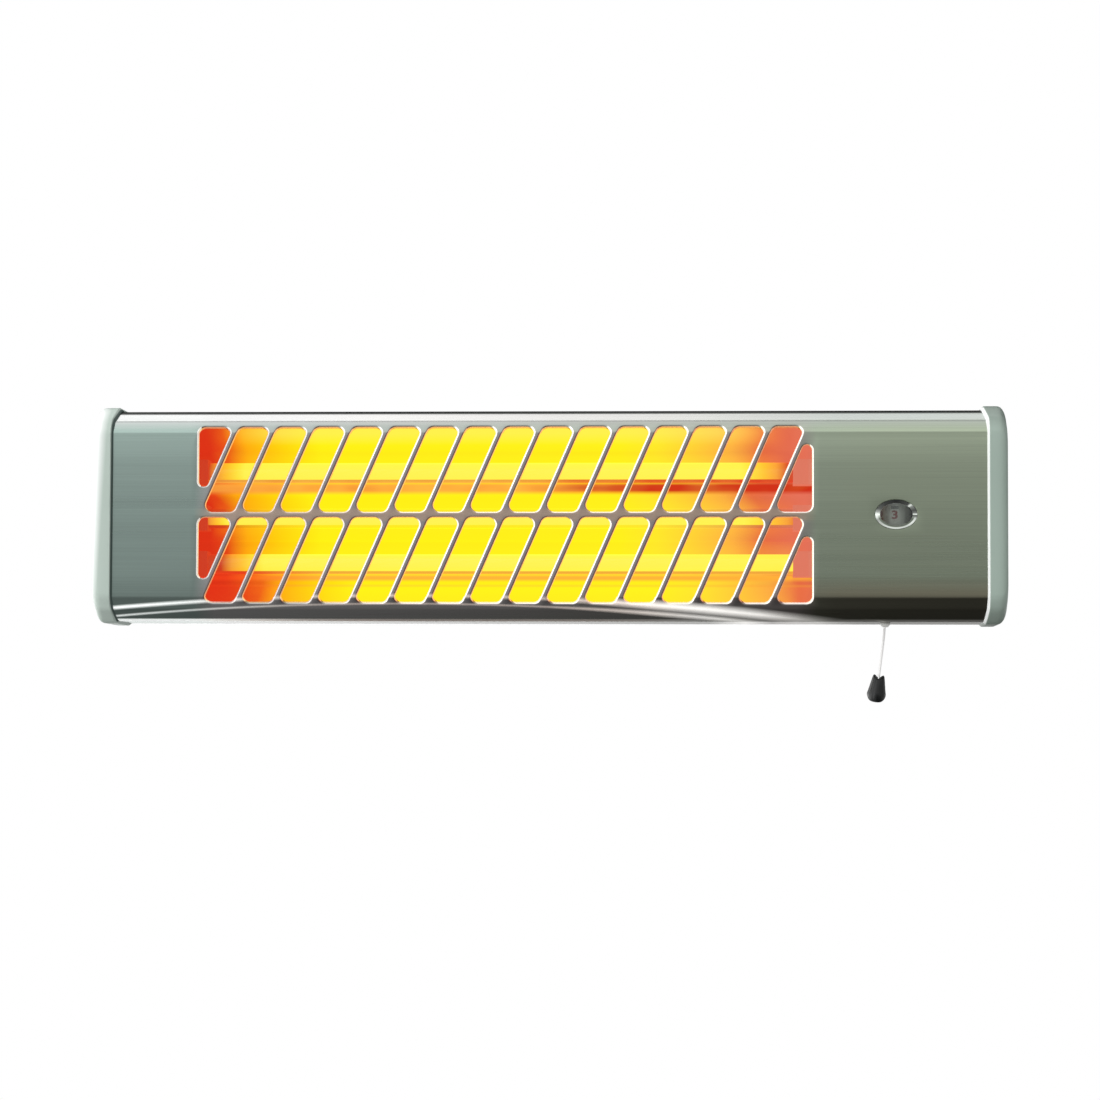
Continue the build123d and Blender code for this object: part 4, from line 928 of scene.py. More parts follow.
def thicken(piece, thickness, rearMaterial=0):
    solidify = piece.modifiers.new("thickness", "SOLIDIFY")
    solidify.thickness = thickness * mm
    solidify.offset = -1.0
    solidify.material_offset = rearMaterial
    solidify.use_even_offset = True


frontPanel = addPiece(makeFrontPanel(), [steel], "heater", "brushed_case", "front_panel")
thicken(frontPanel, panelSizes["sheet"])
print("front panel made:", len(frontPanel.data.polygons), "faces")


# End caps: moulded cups round the sheet's ends, with a softly rounded rim and two screw wells

capSizes = {
    "proud": 2.4,
    "rim": (6.0, 3.4, 0.15),   # length of the rounded rim, and how far it draws in at the front and above
    "below": 0.985,   # height of the lower half against the upper
    "lip": 1.3,
    "lipBack": (0.14, 0.23),   # how far the lip reaches inwards for each mm behind the front, below and above
    "lipProud": 0.7,
    "lipRadius": 0.35,
    "lipReach": 14.0,   # depth behind the front within which the lip leans inwards
    "wall": 2.4,
    "seat": 5.0,
    "foldRadii": (8.0, 6.0, 8.0, 8.0),
    "screwHeight": 22.0,
    "screwY": -48.0,
    "wellRadius": 3.5,
    "wellDepth": 2.0,
}


def capRing(profile, growth, count=5):
    # The casing's closed outline moved out by growth: the upper half from the front's middle to the rear's, then
    # the lower half back.
    knots = profile["knots"]
    lengths = np.concatenate([np.linspace(a, b, count, endpoint=False) for a, b in zip(knots, knots[1:])]
                             + [knots[-1:]])
    depth, height = onProfile(profile, lengths, -growth)
    height[[0, -1]] = 0.0
    upper = stacked(panelLow[1] + depth, height)
    return np.concatenate([upper, (upper * [1, -1])[-2:0:-1]])


def capSection(outerX, innerX):
    # The cap's wall in section, from inside round the lip to the soft rim, as (x, growth), and how far each point's
    # ring is drawn in above and below. The rim's growth falls with a power of a cosine as x rises with that of a sine.
    sizes = capSizes
    length, fall, drawn = sizes["rim"]
    inner = [(outerX - sizes["wall"], -sizes["wall"]), (innerX + sizes["seat"], -sizes["wall"]),
             (innerX + sizes["seat"], 0.0), (innerX, 0.0), (innerX, sizes["lipProud"]),
             (innerX + sizes["lip"], sizes["proud"]), (outerX - length, sizes["proud"])]
    wall = roundedProfile(inner, (0, 0, 0, sizes["lipRadius"], sizes["lipRadius"]), steps=6)
    turn = np.linspace(0, pi / 2, 13)[1:]
    out, back = np.sin(turn) ** 0.85, 1 - np.cos(turn) ** 0.85
    rim = stacked(outerX - length * (1 - out), sizes["proud"] - fall * back)
    return np.concatenate([wall, rim]), np.append(np.ones(len(wall)), 1 - drawn * back)


def screwWell(border, centre, faceX, side):
    # The flat end face from its border to a round well: rings at the same angles about the well's centre.
    sizes = capSizes
    away = border[:, 1:] - centre
    away *= sizes["wellRadius"] / np.linalg.norm(away, axis=1)[:, None]
    levels = [(faceX, 1.0 + 0.4 / sizes["wellRadius"]), (faceX - 0.4, 1.0), (faceX - sizes["wellDepth"], 1.0)]
    circles = [np.insert(centre + away * factor, 0, side * x, axis=1) for x, factor in levels]
    points, faces = gridSurface(np.array([border, *circles]), wrapColumns=True)
    faces.append(list(range(3 * len(border), 4 * len(border))))
    return points, faces


def makeCap(side, name):
    # Rings of the casing's outline along X. Behind the front, the lip leans inwards.
    sizes = capSizes
    low, high = boxOf(name)[:2]
    innerX, outerX = np.sort(np.abs([low[0], high[0]]))
    rear = high[1] - panelLow[1] - sizes["proud"]
    profile = sheetProfile([*sheetCorners(rear, panelHalf), (rear, 0)], sizes["foldRadii"])
    section, drawn = capSection(outerX, innerX)
    rings = np.array([np.insert(capRing(profile, growth), 0, x, axis=1) for x, growth in section])
    rings[..., 2] *= drawn[:, None] * np.where(rings[..., 2] < 0, sizes["below"], 1)
    depth = np.clip(rings[..., 1] - panelLow[1], 0, sizes["lipReach"])
    rimX = outerX - sizes["rim"][0]
    fromLip = np.clip((rimX - rings[..., 0]) / (rimX - innerX), 0, 1)
    rings[..., 0] -= np.interp(rings[..., 2], (-50, 50), sizes["lipBack"]) * depth * fromLip
    rings[..., 0] *= side
    points, faces = gridSurface(rings, wrapColumns=True)
    rim = rings[-1]
    faces.append(list(range(len(rim))))
    surfaces = [(points, faces)]
    half = len(rim) // 2
    chord = np.linspace(rim[half], rim[0], 9)[1:-1]
    halves = (rim[:half + 1], np.concatenate([rim[half:], rim[:1]])[::-1])
    for height, curve in zip((sizes["screwHeight"], -sizes["screwHeight"]), halves):
        surfaces.append(screwWell(np.concatenate([curve, chord]), np.array([sizes["screwY"], height]), outerX, side))
    return makeMesh(name + "Shell", surfaces, sharp=40.0)


for side, name in ((-1, "end_cap_left"), (1, "end_cap_right")):
    addPiece(makeCap(side, name), [capPlastic], "heater", "cap_plastic", name)
print("end caps made")


# Reflector: one polished sheet with a trough behind each tube and a wing above and below

reflectorSizes = {
    "centreY": -70.0,
    "radius": 15.5,
    "pitch": 27.5,
    "wingTip": (-89.0, 53.5),
    "sheet": 0.5,
}


def makeReflector():
    # A side profile of three arcs and two straight wings, carried along the heater.
    sizes = reflectorSizes
    low, high = boxOf("reflector")[:2]
    radius, pitch = sizes["radius"], sizes["pitch"]
    half = np.arcsin(pitch / 2 / radius)
    angles = np.linspace(-half, half, 25)
    arcs = [stacked(sizes["centreY"] + radius * np.cos(angles), middle + radius * np.sin(angles))
            for middle in (-pitch, 0, pitch)]
    tip = np.array(sizes["wingTip"])
    share = np.linspace(0, 1, 9)[:-1, None]
    upper = tip * share + arcs[2][-1] * (1 - share)
    lower = (tip * [1, -1]) * (1 - share) + arcs[0][0] * share
    profile = np.concatenate([lower, arcs[0], arcs[1][1:], arcs[2][1:], upper[1:], [tip]])
    points = stacked(np.linspace(low[0], high[0], 60), profile[:, 0, None], profile[:, 1, None])
    return makeMesh("reflectorSheet", [gridSurface(points)], closed=False, sharp=50.0)


def paintedGlowColours(tree, lowered):
    # The painted glow on the reflector, which stands for the tubes' light on it and in it: yellow in the middle, red
    # at the ends, with deep red bands. lowered moves the bands up by a height. Also how much of the red band lies at a
    # point.
    place = coordinates(tree)
    x, y, z = separated(place)
    z = minus(z, lowered)
    shift = minus(rise(z, -0.0300, -0.0350, high=0.022), lineAt(z, 0.0150, 0.008, 0.008))
    glow = ramp(rise(minus(x, shift), -0.22, 0.16),
                (0.037, (0.52, 0.026, 0.008)), (0.062, (0.56, 0.05, 0.008)), (0.095, (0.72, 0.34, 0.004)),
                (0.155, (0.82, 0.56, 0.003)), (0.213, (0.90, 0.74, 0.006)), (0.687, (0.90, 0.74, 0.010)),
                (0.747, (0.84, 0.68, 0.022)), (0.805, (0.76, 0.53, 0.034)), (0.866, (0.70, 0.36, 0.050)),
                (0.912, (0.56, 0.12, 0.050)), (0.987, (0.56, 0.14, 0.095)))
    pale = times(rise(z, 0.044, 0.050, high=0.4), rise(sizeOf(plus(x, 0.030)), 0.165, 0.13))
    glow = mix(pale, glow, (0.92, 0.72, 0.16))
    patch = maths("ADD", noiseOn(place, 38.0, 1.0), rise(x, -0.02, 0.06, -0.35, 0.45), clamped=True)
    redLine = lineAt(z, 0.0190, 0.0045, 1.6)
    glow = mix(redLine, glow, mix(patch, (0.74, 0.34, 0.05), (0.60, 0.03, 0.010)))
    lowBand = mix(rise(x, -0.185, -0.135), (0.66, 0.04, 0.010), (0.72, 0.33, 0.04))
    glow = mix(lineAt(z, -0.0352, 0.0026, 1.3), glow, lowBand)
    glow = mix(lineAt(z, -0.0402, 0.0012, 0.4), glow, lowBand)
    return glow, times(redLine, patch)


def makeReflectorFinish():
    # Polished aluminium with the tubes' glow painted on as emission, over a dark warm base colour that stands for the
    # glow's reflection and is darker still under the red band.
    material, tree = newMaterial("litReflector")
    glow, reddened = paintedGlowColours(tree, 0.0)
    return finished(material, Base_Color=mix(reddened, (0.30, 0.16, 0.05), (0.05, 0.01, 0.005)), Metallic=1.0,
                    Roughness=0.35, Emission_Color=glow, Emission_Strength=1.0)


aluminium = makeMetal("aluminiumBack", (0.62, 0.60, 0.56), (0.50, 0.47, 0.42), 0.4)
reflector = addPiece(makeReflector(), [makeReflectorFinish(), aluminium], "heater", "reflector_aluminium",
                     "reflector")
thicken(reflector, reflectorSizes["sheet"], rearMaterial=1)
print("reflector made")


# Quartz tubes and their coils

tubeSizes = {
    "radius": 6.0,
    "wall": 1.0,
    "edge": 0.3,
    "wire": 0.45,
    "coilPitch": 2.6,
    "coilSteps": 10,
    "pinLength": 8.0,   # of the straight pin inside each end of a tube
    "pinRadius": 0.9,
    "glowSpans": {"top": (-206, 22, 142, 28), "middle": (-208, 14, 150, 34), "bottom": (-198, 26, 164, 20)},
    "shown": {"top": (-4.1, 9), "middle": (-3.9, 2.4), "bottom": (-4.1, 9)},   # heights about the tube's own axis
}


def makeQuartzTube(name):
    # Outer wall, rounded end, inner wall and end again, turned about the tube's axis.
    low, high, middle = boxOf(name)
    length = high[0] - low[0]
    outer, edge = tubeSizes["radius"], tubeSizes["edge"]
    inner = outer - tubeSizes["wall"]
    profile = [(outer, x) for x in np.linspace(edge, length - edge, 30)]
    profile += [(outer - edge, length), (inner + edge, length), (inner, length - edge)]
    profile += [(inner, edge), (inner + edge, 0), (outer - edge, 0), (outer, edge)]
    points, faces = turned(profile, (low[0], *middle[1:]), alongX, count=40)
    return makeMesh(name + "Glass", [(points, faces[:-2])])


def helixWire(centre, radius, turns, heights, axis, wire):
    # A round wire along a helix about a line through centre: circles across its path, with their first direction
    # away from the axis. heights places each of its points along that axis.
    angle = np.linspace(0, 1, len(heights)) * turns * 2 * pi
    across, up = [k for k in range(3) if k != axis]
    centres = np.tile(np.array(centre, float), (len(angle), 1))
    centres[:, axis] = heights
    helix = centres.copy()
    helix[:, across] += radius * np.cos(angle)
    helix[:, up] += radius * np.sin(angle)
    tangent = np.gradient(helix, axis=0)
    tangent /= np.linalg.norm(tangent, axis=1)[:, None]
    spoke = helix - centres
    spoke /= np.linalg.norm(spoke, axis=1)[:, None]
    around = (np.arange(6) * pi / 3)[:, None]
    points = helix[:, None] + wire * (np.cos(around) * spoke[:, None]
                                      + np.sin(around) * np.cross(tangent, spoke)[:, None])
    return gridSurface(points, wrapColumns=True, capEnds=True)


def makeCoil(name):
    # A helix about the tube's axis, between two straight pins that go out through the tube's ends.
    sizes = tubeSizes
    low, high, middle = boxOf(name)
    tubeLow, tubeHigh = boxOf(name.replace("heating_coil", "quartz_tube"))[:2]
    start, end = tubeLow[0] + sizes["pinLength"], tubeHigh[0] - sizes["pinLength"]
    turns = round((end - start) / sizes["coilPitch"])
    heights = start + (end - start) * np.linspace(0, 1, turns * sizes["coilSteps"] + 1)
    radius = (high[2] - low[2]) / 2 - sizes["wire"]
    surfaces = [helixWire(middle, radius, turns, heights, 0, sizes["wire"])]
    for outerX, innerX in ((low[0], start), (end, high[0])):
        pin = [(sizes["pinRadius"], 0.0), (sizes["pinRadius"], innerX - outerX)]
        surfaces.append(turned(pin, (outerX, *middle[1:]), alongX, count=12))
    return makeMesh(name + "Wire", surfaces)


for level in ("top", "middle", "bottom"):
    tube, coil = "quartz_tube_" + level, "heating_coil_" + level
    span = tubeSizes["glowSpans"][level]
    axis = boxOf(tube)[2][2]
    quartz = makeGlowing(level + "QuartzGlow", span, 0.25, [axis + height for height in tubeSizes["shown"][level]])
    addPiece(makeQuartzTube(tube), [quartz], "heater", "quartz", tube)
    addPiece(makeCoil(coil), [makeGlowing(level + "WireGlow", span, 0.6)], "heater", "heating_wire", coil)
print("tubes and coils made")


# Window: a bulged clear lens over the numbered drum

windowSizes = {
    "x": 204.8,
    "halfWidth": 12.3,
    "halfHeight": 8.55,
    "flange": 2.0,
    "flangeThickness": 1.0,
    "bevel": 1.9,
    "bevelRows": (3, 6),
    "dome": 0.35,
    "sides": 64,
    "drumHalf": 7.0,
    "spindle": 2.0,
    "digits": "0123",
    "shown": 3,          # which of them faces the front
    "digitHeight": 5.0,
    "digitWidening": 1.25,
    "digitShift": 0.8,   # how far the numeral stands left of the window's middle
    "digitWeight": 0.034,
    "digitStep": 52.0,
    "mark": (4.2, 1.7, 4.1),   # width, height and place above the numeral of a small bar
    "paint": 0.03,
}


def makeLens():
    # Elliptical rings from the flange's rear to the middle of the front: a step, a bevel, then a shallow dome that
    # falls with the square of the reach.
    sizes = windowSizes
    low, high = boxOf("window_lens")[:2]
    front = low[1]
    step = high[1] - sizes["flangeThickness"]
    sides = sizes["sides"]
    angles = anglesRound(sides)
    bevelShare = 1 - sizes["bevel"] / sizes["halfHeight"]
    levels = [(sizes["flange"], 1.0, high[1]), (sizes["flange"], 1.0, step), (0.0, 1.0, step),
              (0.0, 1.0, front + 1.3), (0.0, 0.985, front + 1.1), (0.0, bevelShare + 0.02, front + 0.42)]
    levels += [(0.0, reach, front + sizes["dome"] * (reach / bevelShare) ** 2)
               for reach in np.linspace(bevelShare, 0.05, 10)]
    rings = np.array([stacked(sizes["x"] + (sizes["halfWidth"] + grow) * reach * np.cos(angles), y,
                              (sizes["halfHeight"] + grow) * reach * np.sin(angles)) for grow, reach, y in levels])
    mesh = makeMesh("windowLens", [gridSurface(rings, wrapColumns=True, capEnds=True)], sharp=30.0)
    rows = np.arange(len(mesh.polygons)) // sides
    paintFaces(mesh, (rows >= sizes["bevelRows"][0]) & (rows < sizes["bevelRows"][1]))
    return mesh


def makeBevelPaintedLight():
    # The lens's bevel with painted reflections and shade: greenish black above, pale below, bright at both ends, with
    # a dark painted line inside its lower half and a faint painted glow. The pattern follows the angle about the
    # lens's middle, after the ellipse is stretched to a circle.
    sizes = windowSizes
    material, tree = newMaterial("paintedBevelLight")
    x, y, z = separated(coordinates(tree))
    across = maths("DIVIDE", minus(x, sizes["x"] * mm), sizes["halfWidth"] * mm)
    up = maths("DIVIDE", z, sizes["halfHeight"] * mm)
    around = rise(maths("ARCTAN2", up, across), -pi, pi)
    tones = ((0.0, 0.85), (0.03, 0.70), (0.06, 0.30), (0.15, 0.55), (0.25, 0.70), (0.33, 0.60), (0.40, 0.85),
             (0.455, 0.60), (0.48, 0.10), (0.492, 0.2), (0.5, 0.95), (0.515, 0.2), (0.55, 0.06), (0.60, 0.20),
             (0.62, 0.7), (0.64, 0.05), (0.75, 0.012), (0.85, 0.03), (0.93, 0.08), (0.97, 0.3), (1.0, 0.85))
    colour = ramp(around, *[(place, (tone * 0.94, tone, tone * 0.93)) for place, tone in tones])
    reach = maths("SQRT", plus(times(across, across), times(up, up)))
    colour = mix(times(rise(reach, 0.90, 0.86), rise(up, 0.0, -0.3)), colour, (0.13, 0.15, 0.12))
    surface = skinOn(tree, 900.0, 0.1, 60.0)
    return finished(material, Base_Color=colour, Roughness=rise(surface["Mottling"], 0.3, 0.7, 0.12, 0.2),
                    Normal=surface["Normal"], Specular_IOR_Level=0.12, Emission_Color=colour,
                    Emission_Strength=0.35)


def passThrough(material, factor):
    # Mixes the material's shader with a clear one.
    tree = material.node_tree
    clear = addNode(tree, "BsdfTransparent")
    mixed = addNode(tree, "MixShader", {0: factor, 1: tree.nodes["Principled BSDF"].outputs[0],
                                        2: clear.outputs[0]})
    fillInputs(tree.nodes["Material Output"], {"Surface": mixed.outputs[0]})
    return material


def makeLensFinish():
    # Clear plastic, which lets light through to what lies behind it.
    material, tree = newMaterial("clearLens")
    surface = skinOn(tree, 300.0, 0.02, 40.0)
    finished(material, Base_Color=(0.92, 0.97, 0.95), Transmission_Weight=1.0, IOR=1.45,
             Roughness=rise(surface["Mottling"], 0.3, 0.7, 0.02, 0.06), Normal=surface["Normal"])
    path = addNode(tree, "LightPath").outputs
    return passThrough(material, larger(path["Is Shadow Ray"], path["Is Diffuse Ray"]))


drumLow, drumHigh, drumMiddle = boxOf("indicator_drum")
drumRadius = (drumHigh[0] - drumLow[0]) / 2


def makeDrum():
    half, spindle = windowSizes["drumHalf"], windowSizes["spindle"]
    profile = roundedProfile([(0.01, -half), (drumRadius, -half), (drumRadius, half), (0.01, half)], (0.5, 0.5))
    base = (*drumMiddle[:2], 0)
    return makeMesh("numberedDrum", [
        turned(profile, base, alongZ, count=96),
        turned([(spindle, drumLow[2]), (spindle, drumHigh[2])], base, alongZ, count=24)])


def onDrum(angles, heights):
    # Points of the paint on the drum, at angles from its front and heights.
    reach = drumRadius + windowSizes["paint"]
    return stacked(drumMiddle[0] + reach * np.sin(angles), drumMiddle[1] - reach * np.cos(angles), heights)


def flatNumeral(digit):
    # A numeral as a flat mesh, cut into strips so that it can bend, and its box.
    curve = bpy.data.curves.new("numeral" + digit, "FONT")
    curve.body = digit
    curve.size = 1.0
    curve.offset = windowSizes["digitWeight"]
    curve.align_x = "CENTER"
    text = addObject(curve)
    bpy.context.view_layer.update()
    flat = bpy.data.meshes.new_from_object(text)
    bpy.data.objects.remove(text)
    low, high = pointsOf(flat).min(axis=0), pointsOf(flat).max(axis=0)
    cutMesh(flat, 0, np.linspace(low[0], high[0], 12)[1:-1])
    return flat, low, high


def makeNumerals():
    # Plain numerals wrapped on the drum: a letter's x becomes an angle about the drum's axis.
    sizes = windowSizes
    surfaces = []
    for index, digit in enumerate(sizes["digits"]):
        flat, low, high = flatNumeral(digit)
        x, y = ((pointsOf(flat) - (low + high) / 2) * sizes["digitHeight"] / (high[1] - low[1])).T[:2]
        turn = radians(sizes["digitStep"]) * (index - sizes["shown"])
        angles = turn + (x * sizes["digitWidening"] - sizes["digitShift"]) / drumRadius
        surfaces.append((onDrum(angles, y), [list(polygon.vertices) for polygon in flat.polygons]))
    width, height, above = sizes["mark"]
    angles = (np.linspace(-width, width, 9) / 2 - sizes["digitShift"]) / drumRadius
    mark = gridSurface(onDrum(angles, above + np.array([[-height], [height]]) / 2))
    mesh = makeMesh("drumNumerals", [*surfaces, mark], closed=False, weld=0.0001)
    count = len(mesh.polygons)
    paintFaces(mesh, np.arange(count) >= count - len(mark[1]))
    return mesh


addPiece(makeLens(), [makeLensFinish(), makeBevelPaintedLight()], "heater", "clear_plastic", "window_lens")
# The drum's dark grey stands for a pale drum in the shade behind the lens: painted shade.
shadedDrumGrey = makePlastic("shadedDrumGrey", (0.235, 0.245, 0.215), (0.20, 0.21, 0.18), 0.5)
numeralPaint = makePlastic("numeralPaint", (0.085, 0.007, 0.006), (0.07, 0.006, 0.005), 0.5)
markPaint = makePlastic("markPaint", (0.07, 0.075, 0.065), (0.05, 0.055, 0.05), 0.5)
addPiece(makeDrum(), [shadedDrumGrey], "indicator", "white_plastic", "indicator_drum")
addPiece(makeNumerals(), [numeralPaint, markPaint], "indicator", "white_plastic")
print("window made")


# Bushing, knob and return spring

bushingProfile = {
    "corners": [(1.0, -65.0), (1.5, -65.0), (3.1, -63.3), (3.1, -62.5), (2.4, -62.5), (2.4, -61.9), (3.4, -61.9)],
    "radii": (0.2, 0.5, 0.2, 0, 0, 0.3, 0.3),
    "outer": 3.4,
    "bore": 1.0,
    "count": 40,
}

knobSizes = {
    "top": (195.9, -70.0, -93.2),
    "profile": [(0.02, 2.0), (1.2, 1.1), (2.5, -0.2), (3.4, 0.5), (3.8, 2.4), (4.5, 6.0), (5.3, 10.2), (5.75, 11.6),
                (5.6, 12.8), (4.9, 14.6), (3.4, 16.1), (1.6, 16.5), (0.02, 16.5)],
    "facets": 0.035,
    "notch": (2.4, 7.0),   # depth, and how far down the knob it is felt
}

springSizes = {
    "axis": (199.6, -70.0),
    "radius": 2.95,
    "wire": 0.42,
    "end": 0.05,     # room left above and below the wire
    "turns": 9,
    "ease": 0.75,    # how much closer the turns lie at both ends
    "stroke": 8.0,   # how far the plunger comes down on it
}


def makeBushing():
    # A flanged bush, turned about the cord, with the bore's wall joining both ends of its profile.
    sizes = bushingProfile
    high, middle = boxOf("cord_bushing")[1:]
    corners = [*sizes["corners"], (sizes["outer"], high[2]), (sizes["bore"], high[2])]
    profile = roundedProfile(corners, sizes["radii"], steps=4)
    count = sizes["count"]
    points, faces = turned(profile, (*middle[:2], 0), alongZ, count=count)
    last = (len(profile) - 1) * count
    bore = [[i, (i + 1) % count, last + (i + 1) % count, last + i] for i in range(count)]
    return makeMesh("cordBushing", [(points, faces[:-2] + bore)])


def makeKnob():
    # A bell turned about the cord's last direction, with eight soft facets. Its top is notched from front to rear:
    # there the height moves along the axis by the notch's depth times the squared cosine of the angle.
    sizes = knobSizes
    route = np.array(cordSizes["route"])
    depth, felt = sizes["notch"]
    return makeMesh("pullKnob", [turned(
        sizes["profile"], sizes["top"], route[-1] - route[-2], count=64,
        wave=lambda angle: 1 - sizes["facets"] * (1 - np.abs(np.cos(4 * angle))),
        drop=lambda height, angle: depth * np.cos(angle) ** 2 * np.clip(1 - height / felt, 0, 1))], sharp=60.0)


def makeSpring(low, high):
    # A helix whose pitch is close at both ends: the share of the height eases in and out with a sine.
    sizes = springSizes
    room = sizes["wire"] + sizes["end"]
    share = np.linspace(0, 1, sizes["turns"] * 20 + 1)
    eased = share - sizes["ease"] * np.sin(2 * pi * share) / (2 * pi)
    heights = low[2] + room + (high[2] - low[2] - 2 * room) * eased
    wire = helixWire((*sizes["axis"], 0), sizes["radius"], sizes["turns"], heights, 2, sizes["wire"])
    return makeMesh("returnSpring", [wire])


springLow, springHigh = boxOf("return_spring")[:2]
spring = addPiece(makeSpring(springLow, springHigh), [zincPlate], "heater", "zinc_fasteners", "return_spring")
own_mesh(spring)
addPiece(makeBushing(), [whitePlastic], "heater", "white_plastic", "cord_bushing")
knob = addPiece(makeKnob(), [blackPlastic], "pull", "black_plastic", "pull_knob")
smoother = knob.modifiers.new("soft", "SUBSURF")
smoother.levels = smoother.render_levels = 1
print("pull made")


# Fasteners: pan-headed screws with crossed recesses, and domed rivets

fastenerSizes = {
    "shank": 1.5,
    "crown": 0.35,
    "sides": 64,
    "recess": (0.32, 1.55, 0.75),   # half width, half length and depth of the cross
    "rivet": (3.0, 1.6, 1.1),       # radius of head and shank, and height of the head
}
screwRows = {   # name: (node, axis, how far along it the heads' faces stand, heads' radius)
    "coverScrews": ("rear_cover_screws", 1, -38.0, 3.0),
    "capScrews": ("end_cap_screws", 0, 268.0, 3.2),
}


def screwAt(place, direction, across, top, shankLength):
    # A screw whose head rises along direction from place. Its crown falls with the square of the reach, and a cross
    # is sunk in it: the depth times a smooth step from the arms' edges.
    sizes = fastenerSizes
    first, second, along = axesAlong(direction)
    angles = anglesRound(sizes["sides"])
    side = [(0.9, -shankLength), (sizes["shank"], -shankLength + 0.4), (sizes["shank"], 0.0), (across, 0.0),
            (across, top * 0.45), (across * 0.985, top * 0.62), (across * 0.93, top * 0.78)]
    reaches = np.append(across * 0.86, np.linspace(0.78, 0.02, 24) * across)
    crown = top - sizes["crown"] * (reaches / across) ** 2
    crown[0] -= 0.06
    radius, height = np.concatenate([side, stacked(reaches, crown)]).T
    u = radius[:, None] * np.cos(angles)
    v = radius[:, None] * np.sin(angles)
    half, arm, depth = sizes["recess"]
    narrow, wide = np.sort([np.abs(u), np.abs(v)], axis=0)
    inside = np.clip((half - narrow) / 0.16 + 0.5, 0, 1) * np.clip((arm - wide) / 0.3 + 0.5, 0, 1)
    inside[:len(side)] = 0.0
    heights = height[:, None] - depth * inside
    points = np.array(place) + u[..., None] * first + v[..., None] * second + heights[..., None] * along
    return gridSurface(points, wrapColumns=True, capEnds=True)


def looseBoxes(node):
    # Lowest and highest corners, in millimetres, of each loose part of a node. The points wait in the mesh's order, so
    # that the parts come out in the same order on every run.
    work = bmesh.new()
    work.from_mesh(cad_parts[node].data)
    bmesh.ops.remove_doubles(work, verts=work.verts, dist=1e-6)
    waiting = dict.fromkeys(work.verts)
    boxes = []
    while waiting:
        group = [waiting.popitem()[0]]
        for vertex in group:
            for edge in vertex.link_edges:
                other = edge.other_vert(vertex)
                if other in waiting:
                    del waiting[other]
                    group.append(other)
        places = np.array([vertex.co[:] for vertex in group]) / mm
        boxes.append((places.min(axis=0), places.max(axis=0)))
    work.free()
    return boxes


def makeScrews(name, node, axis, face, across):
    # A screw for each loose part of a node. Its head stands outwards from a face square to the axis.
    surfaces = []
    for low, high in looseBoxes(node):
        place = (low + high) / 2
        side = np.sign(place[axis]) if face > 0 else 1.0
        inner, outer = sorted((side * low[axis], side * high[axis]))
        place[axis] = side * face
        surfaces.append(screwAt(place, side * np.eye(3)[axis], across, outer - face, face - inner))
    return makeMesh(name, surfaces, sharp=40.0)


def makeRivets():
    head, shank, rising = fastenerSizes["rivet"]
    surfaces = []
    for low, high in looseBoxes("lug_rivets"):
        middle = (low + high) / 2
        length = high[1] - low[1]
        profile = roundedProfile([(0.02, 0.0), (head, 0.0), (head, rising), (shank, rising), (shank, length - rising),
                                  (head, length - rising), (head * 0.8, length - 0.25), (0.02, length)],
                                 (0.3, 0.3, 0, 0, 0.15, 1.0))
        surfaces.append(turned(profile, (middle[0], low[1], middle[2]), alongY, count=32))
    return makeMesh("lugRivets", surfaces, sharp=40.0)


for name, (node, *sizes) in screwRows.items():
    addPiece(makeScrews(name, node, *sizes), [zincPlate], "heater", "zinc_fasteners", node)
addPiece(makeRivets(), [zincPlate], "heater", "zinc_fasteners", "lug_rivets")
print("fasteners made")


# Finishes of the pieces that keep their own meshes

keptFinishes = [
    (paleCoat, "wall_bracket_left wall_bracket_right"),
    (zincSheet, "rear_cover hinge_lug_left hinge_lug_right heat_shield switch_bracket"),
    (zincPlate, "pivot_pin_left pivot_pin_right clamp_stud_left clamp_stud_right clamp_washers wing_nut_left"
                " wing_nut_right switch_screws lens_retainer"),
    (glowLitZinc, "tube_bracket_left tube_bracket_right"),
    (ceramic, "ceramic_caps_left ceramic_caps_right thermal_cutout"),
    (brass, "bus_bar lead_terminals switch_terminals terminal_screws earth_screw"),
    (blackPlastic, "switch_body cable_gland gland_nut"),
    (whitePlastic, "plunger terminal_block"),
    (blueSleeve, "neutral_wire"),
    (greenSleeve, "earth_wire"),
    (brownSleeve, "live_wire tube_wire_top tube_wire_middle tube_wire_bottom"),
]
for material, nodes in keptFinishes:
    for node in nodes.split():
        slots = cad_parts[node].data.materials
        slots.clear()
        slots.append(material)


# Floor, lights and surroundings

studio = {
    "floorHeight": -700.0,
    "floorSize": 6000.0,
    # Greys of the surroundings at the left and right, as (place round the heater's length, grey). Place 0 is the
    # horizon behind, 0.25 straight down, 0.5 the horizon in front, 0.75 straight up, and 1 the horizon behind again.
    "leftRound": [(0.0, 2.4), (0.02, 2.2), (0.05, 0.24), (0.2, 0.20), (0.32, 0.30), (0.42, 0.36), (0.48, 0.48),
                  (0.53, 0.54), (0.6, 0.85), (0.66, 1.0), (0.70, 0.9), (0.735, 0.45), (0.77, 0.6), (0.79, 1.45),
                  (0.835, 1.55), (0.85, 0.15), (1.0, 0.12)],
    "rightRound": [(0.0, 1.1), (0.02, 0.9), (0.05, 0.05), (0.2, 0.04), (0.41, 0.05), (0.475, 0.30), (0.495, 0.36),
                   (0.53, 0.38), (0.6, 0.7), (0.66, 0.84), (0.70, 0.8), (0.735, 0.35), (0.77, 0.5), (0.79, 1.4),
                   (0.835, 1.5), (0.85, 0.06), (1.0, 0.04)],
    "endGreys": (1.5, 0.35),
}


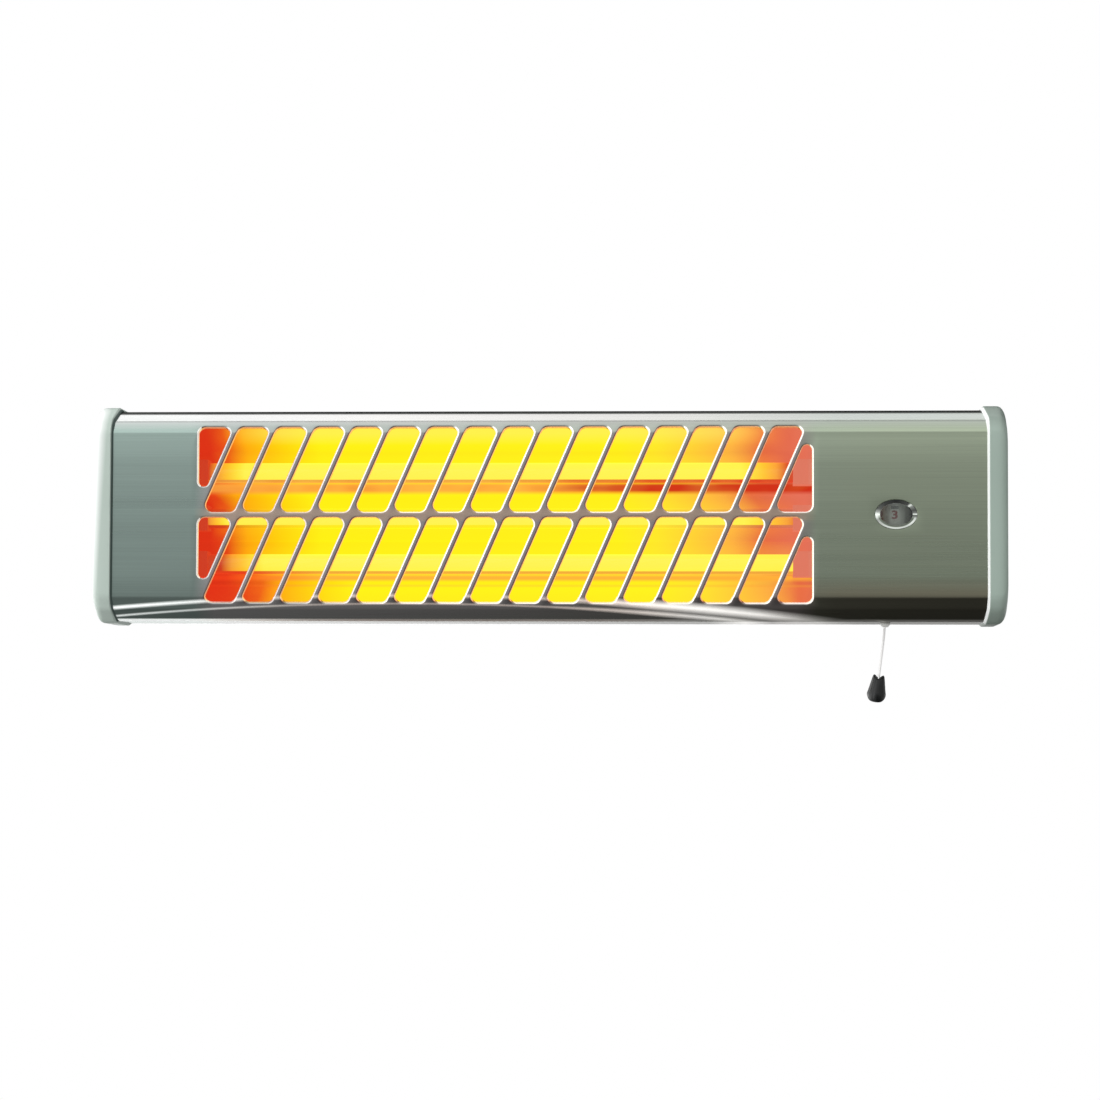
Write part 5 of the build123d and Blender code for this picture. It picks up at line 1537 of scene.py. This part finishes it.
def seenDirectly(tree):
    # Two values: 1 for rays from the camera or through glass, and 1 for reflections.
    path = addNode(tree, "LightPath").outputs
    return larger(path["Is Camera Ray"], path["Is Transmission Ray"]), path["Is Glossy Ray"]


def addFloor():
    # A grey floor that glows to the camera, so that it looks white but keeps the shadow. Reflections pass it by.
    half = studio["floorSize"] / 2
    corners = [(x, y, studio["floorHeight"]) for x, y in ((-half, -half), (half, -half), (half, half), (-half, half))]
    mesh = makeMesh("studioFloor", [(np.array(corners), [[0, 1, 2, 3]])], closed=False)
    material, tree = newMaterial("paleFloor")
    seen, glossy = seenDirectly(tree)
    finished(material, Base_Color=(0.6, 0.6, 0.6), Roughness=0.7, Emission_Color=(1, 1, 1),
             Emission_Strength=times(seen, 0.72))
    mesh.materials.append(passThrough(material, glossy))
    addObject(mesh)


def addWorld():
    # White where the camera looks. For light and reflections, greys by the direction's angle round the heater's
    # length, and a bright end at the left.
    world = bpy.data.worlds.new("studio")
    bpy.context.scene.world = world
    world.use_nodes = True
    tree = world.node_tree
    x, y, z = separated(coordinates(tree, "Generated"))
    around = rise(maths("ARCTAN2", z, times(y, -1.0)), -pi, pi)
    sides = mix(rise(x, -0.16, 0.03), ramp(around, *studio["leftRound"]), ramp(around, *studio["rightRound"]))
    ends = rise(x, -0.1, 0.1, *studio["endGreys"])
    surroundings = mix(rise(sizeOf(x), 0.45, 0.8), sides, ends)
    fillInputs(tree.nodes["Background"], {"Color": mix(seenDirectly(tree)[0], surroundings, (1, 1, 1)),
                                          "Strength": 1.0})


lamps = {
    "leftLamp": {"place": (-850, -900, 250), "target": (0, -70, 0), "size": (500, 700), "power": 6.0},
    "overLamp": {"place": (0, -250, 900), "target": (0, -70, 0), "size": (900, 300), "power": 1.5},
}


def addLamps():
    for name, lamp in lamps.items():
        data = bpy.data.lights.new(name, "AREA")
        data.shape = "RECTANGLE"
        data.size, data.size_y = [value * mm for value in lamp["size"]]
        data.energy = lamp["power"]
        light = addObject(data)
        light.visible_glossy = False
        aim(light, lamp["place"], lamp["target"])


addFloor()
addWorld()
addLamps()
bpy.context.scene.view_settings.view_transform = "Standard"
print("studio made")
